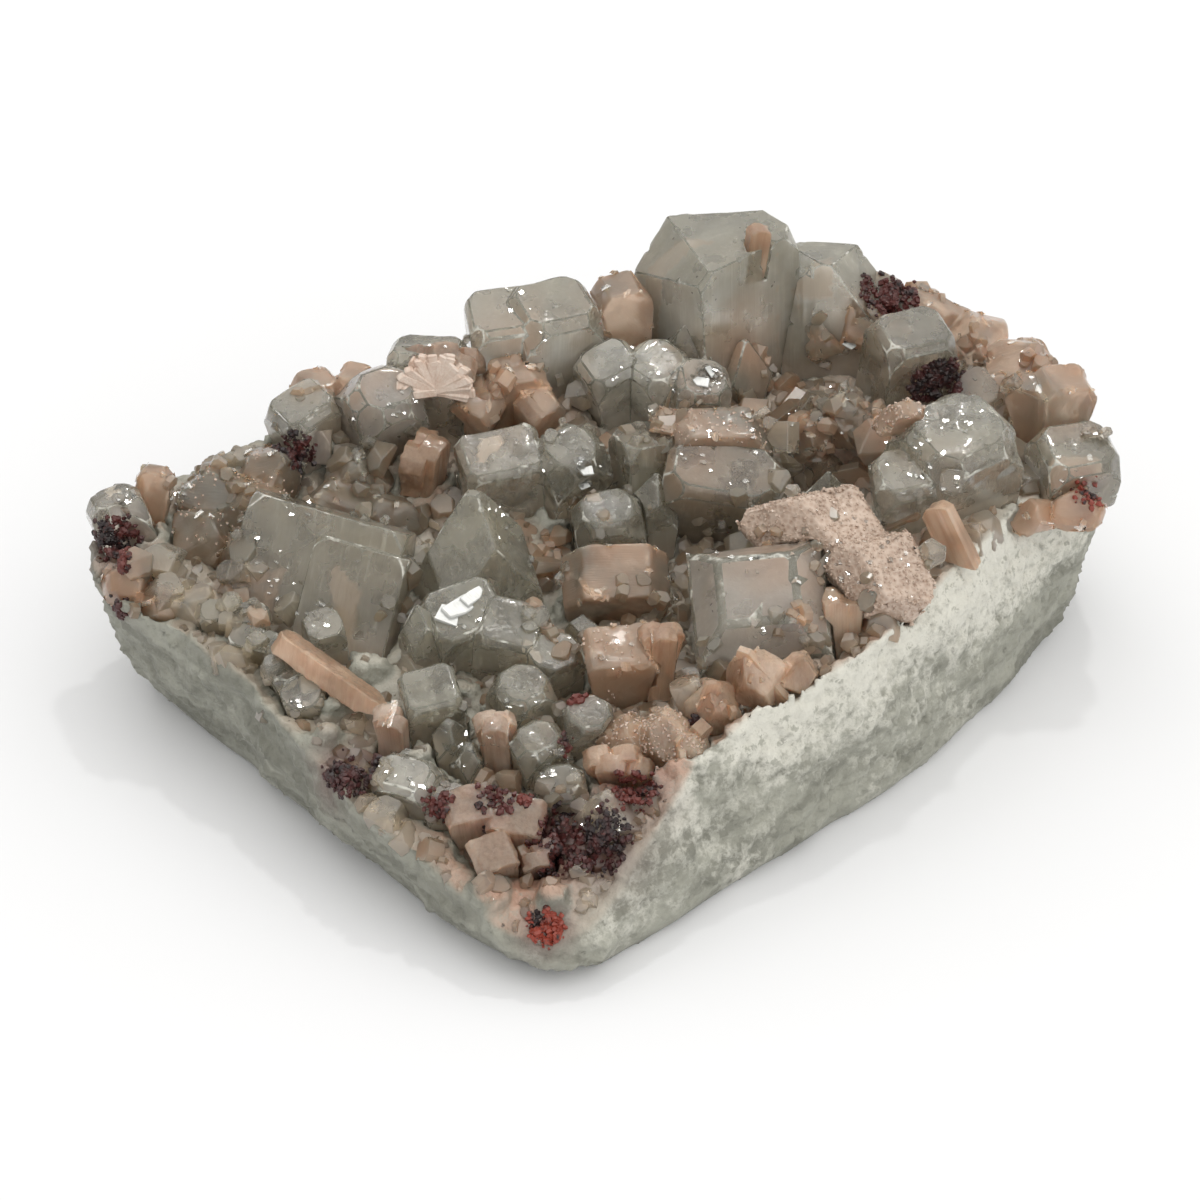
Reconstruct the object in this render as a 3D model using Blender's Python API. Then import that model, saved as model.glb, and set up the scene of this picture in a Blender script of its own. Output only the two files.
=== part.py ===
"""Apophyllite with stilbite and heulandite, grown on a sawn piece of its rock.

The rock is a lofted block with a flat sawn base, a knobbly wall and a hollow top.
Every larger crystal is a closed cell bounded by its own crystal faces, rooted in a
pocket of the rock.  Crystals of one mineral that overlap are joined in one solid, and
the small ones are fused to the rock.  Lengths below are millimetres and angles are
degrees; the meshes are made in metres, with +Z up and the base on Z = 0.
"""
import math
import random

import bmesh
import bpy
import numpy as np
from mathutils import Matrix, Vector, noise

MM = 0.001

# Driving dimensions of the specimen
GAP = 0.3             # clearance between two neighbouring solids
SINK = 3.0            # how deep a crystal's root goes below the rock's top
ROOT_STEP = 0.17      # roots of joined crystals end at slightly different depths
LEAST_ROOT = 3.0      # no root comes nearer to the sawn base than this
STRIDE = 0.25         # step in which a crystal's axis is followed down to the crust
TAIL = 4.0            # a leaning root is cut square this far past the crust
AROUND = 60           # points round each ring of the rock
WALL_RINGS = [0.06, 0.3, 0.55, 0.8, 1.0]    # rings up the wall, as shares of the way to the rim
CRUST_RINGS = [0.88, 0.72, 0.54, 0.34]      # rings over the crust, as shares of the rim's radius
BELLY = 1.4           # how far the wall bulges at half its height
KNOB = 1.1            # height of the broad knobs on the rock
NODULE = 0.7          # height of the smaller ones
BEVEL = 1.0           # height of the bevelled strip along the sawn edge
CENTRE = (0.0, 4.0)   # plan point that the rings are drawn round
SMALL_CRYSTALS = 40   # small crystals fused to the rock's top
APART = 7.0           # distance kept between most of them
SEED = 20

# Sawn edge of the base, as plan points, from the left tip round the front
FOOT = [(-62, 9), (-60, 3), (-54.6, -3), (-47, -11.5), (-38.5, -21.5), (-30, -30),
        (-22, -41), (-12.5, -50), (-7, -52.5), (-1.5, -53), (6, -47), (13, -40.5),
        (19.5, -34), (30, -24.5), (40, -15.5), (50, -2.5), (61, 14), (66, 25),
        (65, 36), (58, 45), (46, 53), (30, 58), (11, 57), (-8, 52), (-25, 45),
        (-41, 36), (-54, 26), (-61, 17)]

# Rim where the wall meets the crust, as plan points with their heights
RIM = [(-69.5, 8, 22), (-67, 0, 22), (-62.5, -4, 21), (-53, -9, 20), (-46, -16.5, 19),
       (-38.5, -28, 17), (-32, -35.5, 15), (-21.5, -46, 12), (-12.5, -53.5, 8),
       (-7, -55, 6), (-1, -53.5, 8), (5, -46.5, 14), (11.5, -35.5, 21), (21.5, -28, 25),
       (31, -22, 26), (42, -9.5, 27), (48, -1, 28), (54, 9, 28), (62.5, 13.5, 27),
       (69, 17, 26), (70.5, 25, 26), (68.5, 36, 26), (62, 44, 27), (52, 50, 28),
       (38, 57, 29), (20, 60, 30), (2, 57, 29), (-12, 51, 28), (-28, 44, 27),
       (-42, 37, 25), (-56, 27, 23), (-66, 18, 22)]

# Heights of the crust's top between the crystals
KNOLLS = [(-3, 12, 14), (-6, 0, 15), (3, -5, 15), (14, 2, 17), (28, 10, 20),
          (17, 18, 18), (-20, 10, 19), (-14, 22, 22), (15, 48, 29), (-9, 43, 28),
          (-25, 35, 26), (-40, 32, 24), (38, 46, 29), (55, 38, 28), (62, 26, 27),
          (46, 18, 27), (35, 28, 24), (48, 5, 28), (31, -4, 24), (20, -15, 19),
          (10, -23, 18), (0, -21, 16), (-12, -14, 16), (-26, -9, 17), (-38, 0, 17),
          (-51, 6, 19), (-62, 9, 22), (-46, 17, 21), (-40, -15, 16), (-26, -28, 14),
          (-10, -33, 15), (5, -33, 17), (-10, -45, 11), (2, 30, 25)]

# Inclination of apophyllite's pyramid faces, whose axes are 8.97 and 15.8
PYRAMID = math.degrees(math.atan2(15.8, 8.97))


def unit(azimuth, elevation):
    """Direction from its compass angle, counted from +X, and its height angle."""
    a, e = math.radians(azimuth), math.radians(elevation)
    return Vector((math.cos(e) * math.cos(a), math.cos(e) * math.sin(a), math.sin(e)))


# Outline and top of the rock

def polar(points):
    """Angles, radii and heights of ring points about CENTRE, sorted by angle."""
    rows = []
    for p in points:
        dx, dy = p[0] - CENTRE[0], p[1] - CENTRE[1]
        height = p[2] if len(p) > 2 else 0.0
        rows.append((math.atan2(dy, dx), math.hypot(dx, dy), height))
    rows.sort()
    return np.array(rows)


FOOT_POLAR = polar(FOOT)
RIM_POLAR = polar(RIM)


def on_ring(ring, column, angle):
    """Radius (column 1) or height (column 2) of a ring at an angle."""
    return float(np.interp(angle, ring[:, 0], ring[:, column], period=2 * math.pi))


def crust(x, y):
    """Height of the crust's top at a plan point."""
    dx, dy = x - CENTRE[0], y - CENTRE[1]
    angle, out = math.atan2(dy, dx), math.hypot(dx, dy)
    share = min(1.0, out / on_ring(RIM_POLAR, 1, angle))
    rim = on_ring(RIM_POLAR, 2, angle)
    weights = [1.0 / (0.5 + math.hypot(x - kx, y - ky)) ** 3 for kx, ky, kz in KNOLLS]
    inner = sum(w * k[2] for w, k in zip(weights, KNOLLS)) / sum(weights)
    blend = max(0.0, (share - 0.72) / 0.28) ** 2
    return rim * blend + inner * (1.0 - blend)


# Crystal forms: lists of (normal, distance), with the top's centre at the origin

def block(width, depth, corner=0.0, edge=0.0):
    """Square prism, its corners cut by pyramid faces and its top edges bevelled."""
    planes = [(Vector((s, 0, 0)), width / 2) for s in (1, -1)]
    planes += [(Vector((0, s, 0)), depth / 2) for s in (1, -1)]
    planes.append((Vector((0, 0, 1)), 0.0))
    tip = Vector((width / 2, depth / 2, 0))
    for k in range(4):
        normal = unit(45 + 90 * k, 90 - PYRAMID)
        out = abs(normal.x) * tip.x + abs(normal.y) * tip.y
        if corner:
            planes.append((normal, out - corner))
        if edge:
            side = unit(90 * k, 40)
            planes.append((side, abs(side.x) * tip.x + abs(side.y) * tip.y - edge))
    return planes


def spire(width, depth, blunt=0.0):
    """Square prism that ends in four pyramid faces, its point cut off by blunt."""
    planes = [(Vector((s, 0, 0)), width / 2) for s in (1, -1)]
    planes += [(Vector((0, s, 0)), depth / 2) for s in (1, -1)]
    planes += [(unit(45 + 90 * k, 90 - PYRAMID), 0.0) for k in range(4)]
    planes.append((Vector((0, 0, 1)), -blunt))
    return planes


def tablet(width, thick, shoulder=0.28):
    """Coffin-shaped tablet: a narrow top, wide shoulders and sides that close in."""
    planes = [(Vector((0, s, 0)), thick / 2) for s in (1, -1)]
    planes.append((Vector((0, 0, 1)), 0.0))
    for s in (1, -1):
        slope = Vector((s * math.cos(math.radians(38)), 0, math.sin(math.radians(38))))
        planes.append((slope, slope.x * s * shoulder * width))
        side = Vector((s * math.cos(math.radians(9)), 0, -math.sin(math.radians(9))))
        planes.append((side, side.x * s * width / 2 + 0.25 * width * -side.z))
    return planes


def blade(width, thick):
    """Flat lath with a blunt two-sided point, the single crystal of a sheaf."""
    planes = [(Vector((0, s, 0)), thick / 2) for s in (1, -1)]
    planes += [(Vector((s, 0, 0)), width / 2) for s in (1, -1)]
    for s in (1, -1):
        planes.append((Vector((s * math.sin(math.radians(32)), 0,
                               math.cos(math.radians(32)))), 0.0))
    planes.append((Vector((0, 0, 1)), -0.12 * width))
    return planes


def lump(width, depth, height, seed):
    """Many-sided rounded mass, centred half its height below the origin."""
    rng = random.Random(seed)
    count = 11
    planes = []
    for k in range(count):
        z = 1 - 2 * (k + 0.5) / count
        a = k * math.pi * (3 - math.sqrt(5)) + rng.uniform(-0.3, 0.3)
        r = math.sqrt(1 - z * z)
        n = Vector((r * math.cos(a), r * math.sin(a), z))
        size = Vector((n.x * width / 2, n.y * depth / 2, n.z * height / 2)).length
        planes.append((n, size * rng.uniform(0.84, 1.0) - n.z * height / 2))
    return planes


def stand(x, y, z, turn, lean, toward):
    """Place a form: turned about its axis, which then leans toward an azimuth."""
    a = math.radians(toward)
    tilt = Matrix.Rotation(math.radians(lean), 4, Vector((-math.sin(a), math.cos(a), 0)))
    return Matrix.Translation((x, y, z)) @ tilt @ Matrix.Rotation(math.radians(turn), 4, "Z")


def rooted(form, place, long=60.0, cuts=(), sink=SINK, number=0):
    """World planes of one crystal, cut off flat where its root ends in the rock."""
    turn = place.to_3x3()
    origin = place.translation
    planes = [(turn @ n, d + (turn @ n).dot(origin)) for n, d in form]
    axis = turn @ Vector((0, 0, 1))
    foot = origin.copy()
    travelled = 0.0
    while foot.z > crust(foot.x, foot.y) - sink and travelled < long:
        foot -= axis * STRIDE
        travelled += STRIDE
    floor = max(LEAST_ROOT, foot.z) + number * ROOT_STEP
    planes.append((Vector((0, 0, -1)), -floor))
    planes.append((-axis, -axis.dot(origin - axis * (travelled + TAIL))))
    for azimuth, elevation, distance in cuts:
        n = unit(azimuth, elevation)
        planes.append((n, n.dot(origin) + distance))
    return planes


def sheaf(x, y, z, width, thick, long, blades, spread, turn=0, lean=0, toward=0,
          sink=SINK):
    """Laths fanned out from one root, as stilbite grows."""
    cells = []
    place = stand(x, y, z, turn, lean, toward)
    base = Matrix.Translation((0, 0, -long))
    for k in range(blades):
        share = (k + 0.5) / blades - 0.5
        fan = Matrix.Rotation(math.radians(spread * share), 4, "Y")
        roll = Matrix.Rotation(math.radians(7 * (-1) ** k), 4, "Z")
        shift = Matrix.Translation((0, 0.28 * thick * (-1) ** k, long * (1 - 0.16 * abs(share))))
        own = place @ base @ fan @ roll @ shift
        cells.append(rooted(blade(width, thick * (1 - 0.1 * (k % 3))), own, long + 2,
                            sink=sink, number=k))
    return cells


def lumps(places, seed, sink=SINK):
    """Rounded masses, each place x, y, z and the three sizes."""
    return [rooted(lump(w, d, h, seed + k), stand(x, y, z, 40 * k, 0, 0), sink=sink,
                   number=k)
            for k, (x, y, z, w, d, h) in enumerate(places)]


# Meshes

def corner_points(planes, grow):
    """Corners of the cell: the triple crossings that lie inside every plane."""
    normals = np.array([tuple(n) for n, d in planes])
    offsets = np.array([d + grow for n, d in planes])
    points = []
    count = len(planes)
    for i in range(count):
        for j in range(i + 1, count):
            for k in range(j + 1, count):
                three = normals[[i, j, k]]
                if abs(np.linalg.det(three)) < 1e-6:
                    continue
                p = np.linalg.solve(three, offsets[[i, j, k]])
                if np.all(normals @ p <= offsets + 1e-6):
                    points.append(p)
    return points


def new_object(name, bm, material=None):
    """Object made from a bmesh that holds metres."""
    mesh = bpy.data.meshes.new(name)
    bm.to_mesh(mesh)
    bm.free()
    obj = bpy.data.objects.new(name, mesh)
    bpy.context.scene.collection.objects.link(obj)
    if material:
        mesh.materials.append(material)
    return obj


def hull_object(cells, grow=0.0):
    """Closed convex solid round one or more cells, grown outward by a clearance."""
    bm = bmesh.new()
    for planes in cells:
        for p in corner_points(planes, grow):
            bm.verts.new(Vector(p) * MM)
    bmesh.ops.remove_doubles(bm, verts=bm.verts, dist=0.02 * MM)
    hull = bmesh.ops.convex_hull(bm, input=bm.verts)
    spare = [e for e in hull["geom_interior"] if isinstance(e, bmesh.types.BMVert)]
    bmesh.ops.delete(bm, geom=spare, context="VERTS")
    bmesh.ops.dissolve_limit(bm, angle_limit=math.radians(0.5), verts=bm.verts, edges=bm.edges)
    bmesh.ops.recalc_face_normals(bm, faces=bm.faces)
    return new_object("cell", bm)


def cell_object(planes, grow=0.0):
    """Closed solid of a single cell."""
    return hull_object([planes], grow)


def pockets(mineral, cells):
    """Cutters of a piece's pocket in the rock: one for a sheaf, else one a crystal."""
    if mineral == "stilbite":
        return [hull_object(cells, GAP)]
    return [cell_object(c, GAP) for c in cells]


def boolean(obj, others, operation):
    """Join or cut an object with others, and keep the result as its mesh."""
    for other in others:
        modifier = obj.modifiers.new(operation.lower(), "BOOLEAN")
        modifier.operation = operation
        modifier.object = other
    bpy.context.view_layer.update()
    shaped = bpy.data.meshes.new_from_object(
        obj.evaluated_get(bpy.context.evaluated_depsgraph_get()))
    obj.modifiers.clear()
    obj.data = shaped
    for other in others:
        bpy.data.objects.remove(other)


def cleaned(obj):
    """Weld specks and keep only the largest connected body."""
    bm = bmesh.new()
    bm.from_mesh(obj.data)
    bmesh.ops.remove_doubles(bm, verts=bm.verts, dist=0.01 * MM)
    bmesh.ops.dissolve_degenerate(bm, edges=bm.edges, dist=0.01 * MM)
    bmesh.ops.dissolve_limit(bm, angle_limit=math.radians(0.3), verts=bm.verts, edges=bm.edges)
    bodies, seen = [], set()
    for start in bm.verts:
        if start in seen:
            continue
        body, stack = [], [start]
        seen.add(start)
        while stack:
            v = stack.pop()
            body.append(v)
            for e in v.link_edges:
                w = e.other_vert(v)
                if w not in seen:
                    seen.add(w)
                    stack.append(w)
        bodies.append(body)
    bodies.sort(key=len)
    for body in bodies[:-1]:
        bmesh.ops.delete(bm, geom=body, context="VERTS")
    bmesh.ops.triangulate(bm, faces=bm.faces)
    bm.to_mesh(obj.data)
    bm.free()


def reach(cells):
    """Lowest and highest corner of a piece's cells."""
    points = np.array([p for planes in cells for p in corner_points(planes, 0.0)])
    return points.min(axis=0), points.max(axis=0)


def meet(a, b):
    """Whether two boxes come within the clearance of each other."""
    return all(a[0][k] < b[1][k] + 2 * GAP and b[0][k] < a[1][k] + 2 * GAP for k in range(3))


# Materials: colour, roughness, how much light passes

def finish(name, colour, roughness, passes=0.0, refraction=1.5):
    material = bpy.data.materials.new(name)
    material.use_nodes = True
    shader = material.node_tree.nodes["Principled BSDF"]
    shader.inputs["Base Color"].default_value = (*colour, 1.0)
    shader.inputs["Roughness"].default_value = roughness
    shader.inputs["Metallic"].default_value = 0.0
    shader.inputs["Transmission Weight"].default_value = passes
    shader.inputs["IOR"].default_value = refraction
    material.diffuse_color = (*colour, 1.0)
    return material


FINISHES = {
    "apophyllite": ((0.30, 0.32, 0.28), 0.10, 0.5, 1.535),
    "stilbite": ((0.44, 0.22, 0.13), 0.30, 0.0, 1.50),
    "heulandite": ((0.46, 0.27, 0.20), 0.25, 0.1, 1.50),
    "rock": ((0.42, 0.42, 0.37), 0.80, 0.0, 1.5),
}


# The crystals, first those that keep their whole shape

def pieces():
    """Name, mineral and cells of every larger crystal or group."""
    rows = []

    def add(name, cells):
        rows.append((name, name.split("_")[0], cells))

    # Back ridge
    add("stilbite_stick", [rooted(blade(3.0, 2.4), stand(22.3, 46.0, 51, 15, 8, 20), 8.0)])
    add("apophyllite_giant", [
        rooted(block(17.5, 16, 1.5), stand(16.0, 49.5, 47.8, 37, 4, 200),
               cuts=[(200, 40, 3.2), (95, 55, 3.0)])])
    add("apophyllite_roof", [
        rooted(spire(15, 11, 1.0), stand(13, 41, 39.5, 20, 12, -90)),
        rooted(spire(9, 9, 0.6), stand(20.5, 40.5, 36, -15, 18, -70), number=1)])
    add("apophyllite_back_left", [
        rooted(block(10, 11, 1.8, 0.8), stand(-13.8, 42, 40, 8, 8, -120)),
        rooted(block(12, 11, 2.4, 1.0), stand(-6.5, 42.5, 41, 24, 10, -60), number=1)])
    add("apophyllite_white_cluster", [
        rooted(block(8.5, 8, 1.8, 0.8), stand(1, 36.5, 35, 28, 22, -110)),
        rooted(block(9, 8.5, 2.2, 0.8), stand(8, 36.5, 35, 50, 20, -80), number=1),
        rooted(block(8, 8, 2.0, 0.8), stand(14.5, 34.5, 33.5, 12, 26, -60), number=2)])
    add("heulandite_back_block", [rooted(tablet(8, 7), stand(2.8, 47, 41, 15, 6, 160))])
    add("apophyllite_far_back", [
        rooted(block(13, 9, 1.2), stand(33, 51.5, 43, -12, 10, 90),
               cuts=[(-20, 40, 1.2), (200, 50, 2.4)]),
        rooted(block(7, 8, 1.0), stand(28, 53, 41, 20, 5, 120), number=1)])
    add("heulandite_back_knob", lumps([(37, 46, 38.5, 6.5, 6.5, 10), (31.5, 47, 36.5, 6, 6, 9)], 3))
    add("apophyllite_grey_right", [
        rooted(block(10.5, 9, 1.8, 0.7), stand(43.5, 36, 40.5, 22, 12, -70))])
    add("heulandite_back_rim", lumps([(46, 50, 37.5, 11, 9, 12), (53, 46.5, 36, 10, 9, 12),
                                      (59.5, 40, 35.5, 11, 9, 12), (55, 35, 33, 9, 8, 9)], 9))

    # Back left heap
    add("stilbite_fan", sheaf(-21.8, 32.2, 38.5, 4.8, 3.2, 7.5, 5, 140, 0, 35, -90))
    add("apophyllite_behind_fan", [
        rooted(block(11, 8, 1.8, 0.8), stand(-24, 37, 37, -8, 6, 90))])
    add("apophyllite_lilac", [
        rooted(block(10.5, 9.5, 3.0, 1.3), stand(-29.5, 28.5, 35.5, 30, 24, -70))])
    add("heulandite_left_pair", [
        rooted(tablet(7, 6.5), stand(-39.5, 36.5, 32, 25, 6, 130)),
        rooted(tablet(5.5, 5), stand(-34.5, 36, 33.5, -20, 8, 100), number=1)])
    add("apophyllite_grey_left", [
        rooted(block(9.5, 9, 2.0, 1.0), stand(-41.5, 30.5, 32, 35, 18, -130))])
    add("heulandite_centre_back", [
        rooted(tablet(10, 6), stand(-12.5, 34.5, 35, 12, 20, -100)),
        rooted(tablet(7, 5), stand(-17, 31, 32, -30, 25, -80), number=1),
        rooted(tablet(6, 5), stand(-8, 31.5, 31.5, 40, 20, -60), number=2)])
    add("stilbite_orange_heap", sheaf(-23.5, 23.5, 30.5, 5, 3.4, 8, 3, 60, 70, 15, -60))

    # Left part
    add("apophyllite_left_tip", [
        rooted(block(7.5, 8, 2.2, 0.9), stand(-66.3, 13, 28, 20, 14, 170))])
    add("heulandite_left_tablet", [
        rooted(tablet(5, 3), stand(-60.5, 17.5, 29.5, -10, 8, 60))])
    add("heulandite_left_mass", lumps([(-53, 20, 27, 11, 9, 9), (-47, 16.5, 26, 10, 9, 8),
                                       (-54, 12.5, 25, 9, 8, 8), (-46, 24, 28, 9, 8, 9),
                                       (-48, 9, 23.5, 8, 7, 7)], 23))
    add("heulandite_hollow_mass", lumps([(-37, 17.5, 25.5, 10, 8, 8), (-29.5, 17, 24.5, 9, 8, 8),
                                         (-34, 23.5, 27.5, 9, 8, 8)], 67))
    add("heulandite_left_low", lumps([(-63.5, 2, 24.5, 7, 6, 7), (-58.5, -1, 23, 6, 5, 6)], 27))
    add("apophyllite_left_big", [
        rooted(block(22, 9, 1.2), stand(-35.5, 8, 28.8, -13, 34, 62)),
        rooted(block(13, 6, 0.8), stand(-31, 2.5, 27, -16, 33, 62), number=1),
        rooted(block(5, 5, 0.8), stand(-36.5, -8.5, 22.5, 20, 15, -90), number=2)])
    add("apophyllite_left_plates", [
        rooted(block(9, 3.5, 0.6), stand(-48.5, -6.5, 23, -8, 20, -100)),
        rooted(block(7, 3.5, 0.6), stand(-45.5, -10.5, 21.5, -20, 25, -100), number=1)])
    add("apophyllite_left_small", [
        rooted(block(5.5, 5, 1.0), stand(-41, -15.5, 21, 30, 20, -110)),
        rooted(block(5.5, 5, 1.0), stand(-38.8, -19.6, 19.5, 10, 25, -110), number=1)])
    add("stilbite_salmon_blade", [
        rooted(blade(4.6, 2.8), stand(-42.5, -13.5, 24, 90, 68, 151), 15)])

    # Hollow in the middle
    add("apophyllite_spire", [
        rooted(spire(14, 12, 1.8), stand(-17, 6.5, 35, 28, 8, 100))])
    add("apophyllite_hollow_group", [
        rooted(block(11.5, 9, 1.4, 0.6), stand(-13.5, 20.5, 30.5, 15, 16, -90)),
        rooted(block(9.5, 9, 2.8, 1.2), stand(-4, 20, 31.5, 35, 24, -80), number=1),
        rooted(block(9.5, 8, 2.4, 1.0), stand(1, 14, 25.5, 10, 20, -90), number=2)])
    add("apophyllite_upright", [
        rooted(block(7.5, 7.5, 1.0), stand(6, 23.5, 31, 24, 6, 100)),
        rooted(spire(6.5, 6, 0.4), stand(7.8, 17.6, 29, 10, 6, 20), number=1)])
    add("heulandite_cap", [
        rooted(tablet(15, 6), stand(16.5, 23, 33.5, 4, 12, -80)),
        rooted(tablet(7, 5), stand(9.8, 25.5, 32, -15, 10, -90), number=1)])
    add("apophyllite_green", [
        rooted(block(16, 10, 2.6, 1.0), stand(17, 17, 30, -8, 26, -80))])
    add("apophyllite_right_spire", [
        rooted(spire(8.5, 8, 0.3), stand(30.8, 12.5, 32.5, 5, 6, -90))])
    add("heulandite_rhomb", [rooted(tablet(14.5, 8, 0.3), stand(2.2, 0.5, 24.5, 3, 32, -88))])

    # Right part
    add("apophyllite_big_cube", [
        rooted(block(18, 17.5, 2.5, 3.0), stand(20.5, -12.5, 31, 3, 27, -100))])
    add("heulandite_druse_plate", [
        rooted(lump(22, 10, 7, 31), stand(29, -0.5, 33.5, -22, 8, -90)),
        rooted(lump(15, 12, 7, 35), stand(37, -7.5, 32, -38, 10, -80), number=1)])
    add("stilbite_column", [
        rooted(blade(3.2, 4.5), stand(30.3, -11.3, 29.5, 10, 8, 90)),
        rooted(blade(3.0, 4.2), stand(33, -11, 28.8, -8, 8, 80), number=1)])
    add("heulandite_triangle", [
        rooted(tablet(9, 2.6, 0.1), stand(40.5, 12.5, 42.5, 12, 30, -100), 6)])
    add("stilbite_right_blade", [
        rooted(blade(4.2, 2.4), stand(44, 1.5, 35, -25, 35, 140), 9)])
    add("apophyllite_right_clear", [
        rooted(block(14, 13, 3.2, 1.2), stand(48, 11.5, 40.5, 32, 16, -80)),
        rooted(block(9.5, 9, 2.0, 0.8), stand(41, 8, 36, 8, 20, -110), number=1)])
    add("heulandite_right_masses", lumps([(34.5, 29, 33.5, 8, 7, 8), (29, 26.5, 32, 7, 6, 8),
                                          (38.5, 25.5, 33, 7, 6, 8)], 41))
    add("heulandite_right_block", [
        rooted(tablet(7.5, 7, 0.36), stand(64, 28, 37.5, 12, 6, 20)),
        rooted(tablet(6, 5), stand(59, 29.5, 36, -20, 8, 160), number=1)])
    add("apophyllite_right_end", [
        rooted(block(10.5, 9.5, 2.0, 0.8), stand(65, 17.5, 33.5, 18, 16, -70))])
    add("heulandite_red_edge", lumps([(64.5, 11.5, 29.5, 8, 5, 6), (59, 10.5, 29, 6, 5, 6)], 47))

    # Front part
    add("apophyllite_front_group", [
        rooted(block(10, 9, 1.4, 0.5), stand(-18, -8.5, 25, 22, 22, -100)),
        rooted(block(8.5, 8, 1.2, 0.5), stand(-11.5, -11, 24.5, -14, 20, -80), number=1),
        rooted(block(6.5, 6, 1.2), stand(-6, -14.5, 22.5, 30, 18, -80), number=2),
        rooted(spire(5, 4.6, 0.3), stand(-24, -9.5, 26.5, 30, 6, 150), number=3)])
    add("heulandite_pink_cube", [rooted(tablet(9, 7, 0.42), stand(2.5, -17.5, 25.5, 6, 18, -90))])
    add("stilbite_upright", sheaf(8.3, -18, 29, 3.2, 2.8, 10, 3, 26, 10, 6, -60))
    add("stilbite_orange_caps", lumps([(20, -23.5, 28.5, 7, 6, 8), (14.5, -26.5, 26.5, 6, 6, 8),
                                       (25.5, -22.5, 27.5, 5, 4.5, 6)], 53))
    add("stilbite_peach_mass", lumps([(8, -29.5, 23.5, 7, 7, 8), (4, -28.5, 22, 6, 6, 7),
                                      (11, -32, 22.5, 6, 6, 7)], 59))
    add("apophyllite_front_block", [
        rooted(block(7.5, 7, 1.0, 0.4), stand(-22, -23, 23, 14, 18, -100))])
    add("apophyllite_dark_facets", [
        rooted(block(7, 7, 1.8, 0.6), stand(-10, -23.5, 24, 36, 15, -90))])
    add("apophyllite_green_face", [
        rooted(block(6.5, 6, 1.6, 0.5), stand(-1.5, -27, 22, 12, 18, -80))])
    add("stilbite_striated", sheaf(-13.3, -30, 23.5, 3.2, 2.8, 10, 3, 24, 5, 10, -100))
    add("apophyllite_prisms", [
        rooted(spire(4.6, 4.4, 1.0), stand(-19.5, -27.5, 21.5, 12, 10, -110)),
        rooted(spire(4.2, 4.2, 0.9), stand(-16.8, -30.5, 20, 40, 12, -100), number=1)])
    add("stilbite_pink_blade", sheaf(-27, -27.5, 22.5, 3.6, 2.6, 9, 2, 16, -12, 12, -110))
    add("apophyllite_white_front", [
        rooted(block(8.5, 6, 1.6, 0.6), stand(-25, -35, 18.5, -24, 20, -120)),
        rooted(block(6, 5, 1.2, 0.4), stand(-19.5, -37.5, 16.5, 10, 20, -100), number=1)])
    add("apophyllite_round_front", [
        rooted(block(7, 6.5, 2.0, 0.9), stand(-8, -31.5, 21.5, 30, 20, -90)),
        rooted(block(6.5, 6, 1.8, 0.8), stand(-5, -36.5, 18.5, 8, 24, -90), number=1)])
    add("stilbite_orange_fan", sheaf(2.5, -34.8, 21, 3.8, 2.8, 8, 4, 74, 0, 28, -90))
    add("stilbite_boxy_group", [
        rooted(tablet(6.5, 5.5, 0.4), stand(-16.5, -40, 17.5, 10, 18, -110)),
        rooted(tablet(7, 5.5, 0.4), stand(-10.5, -41.5, 17, -12, 22, -90), number=1),
        rooted(tablet(5.5, 5, 0.4), stand(-13.5, -46, 14.5, 20, 30, -100), number=2)])
    add("stilbite_front_blades", sheaf(-8.5, -46.5, 14.5, 3.6, 2.4, 8, 3, 54, 20, 38, -100))
    return rows


# Small crystals between the large ones

def small_forms():
    """Cells of the small crystals, scattered evenly over the crust by one rule."""
    rng = random.Random(SEED)
    spots = []
    cells = []
    while len(spots) < SMALL_CRYSTALS:
        angle = rng.uniform(-math.pi, math.pi)
        share = math.sqrt(rng.uniform(0.0, 0.93))
        out = share * on_ring(RIM_POLAR, 1, angle)
        x = CENTRE[0] + out * math.cos(angle)
        y = CENTRE[1] + out * math.sin(angle)
        if any(math.hypot(x - sx, y - sy) < APART for sx, sy in spots):
            if rng.random() < 0.97:
                continue
        spots.append((x, y))
        size = rng.uniform(4.0, 6.5)
        top = crust(x, y) + rng.uniform(1.6, 3.6)
        turn, lean, toward = rng.uniform(0, 90), rng.uniform(5, 38), rng.uniform(0, 360)
        kind = rng.choice(["block", "block", "tablet", "blade", "lump"])
        if kind == "block":
            form = block(size, size * rng.uniform(0.8, 1.0), size * 0.22)
        elif kind == "tablet":
            form = tablet(size * 1.2, size * 0.7)
        elif kind == "blade":
            form = blade(size * 0.8, size * 0.5)
        else:
            form = lump(size * 1.2, size, size * 1.1, rng.randrange(1000))
        cells.append(rooted(form, stand(x, y, top, turn, lean, toward), sink=2.0))
    return cells


# The rock

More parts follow.
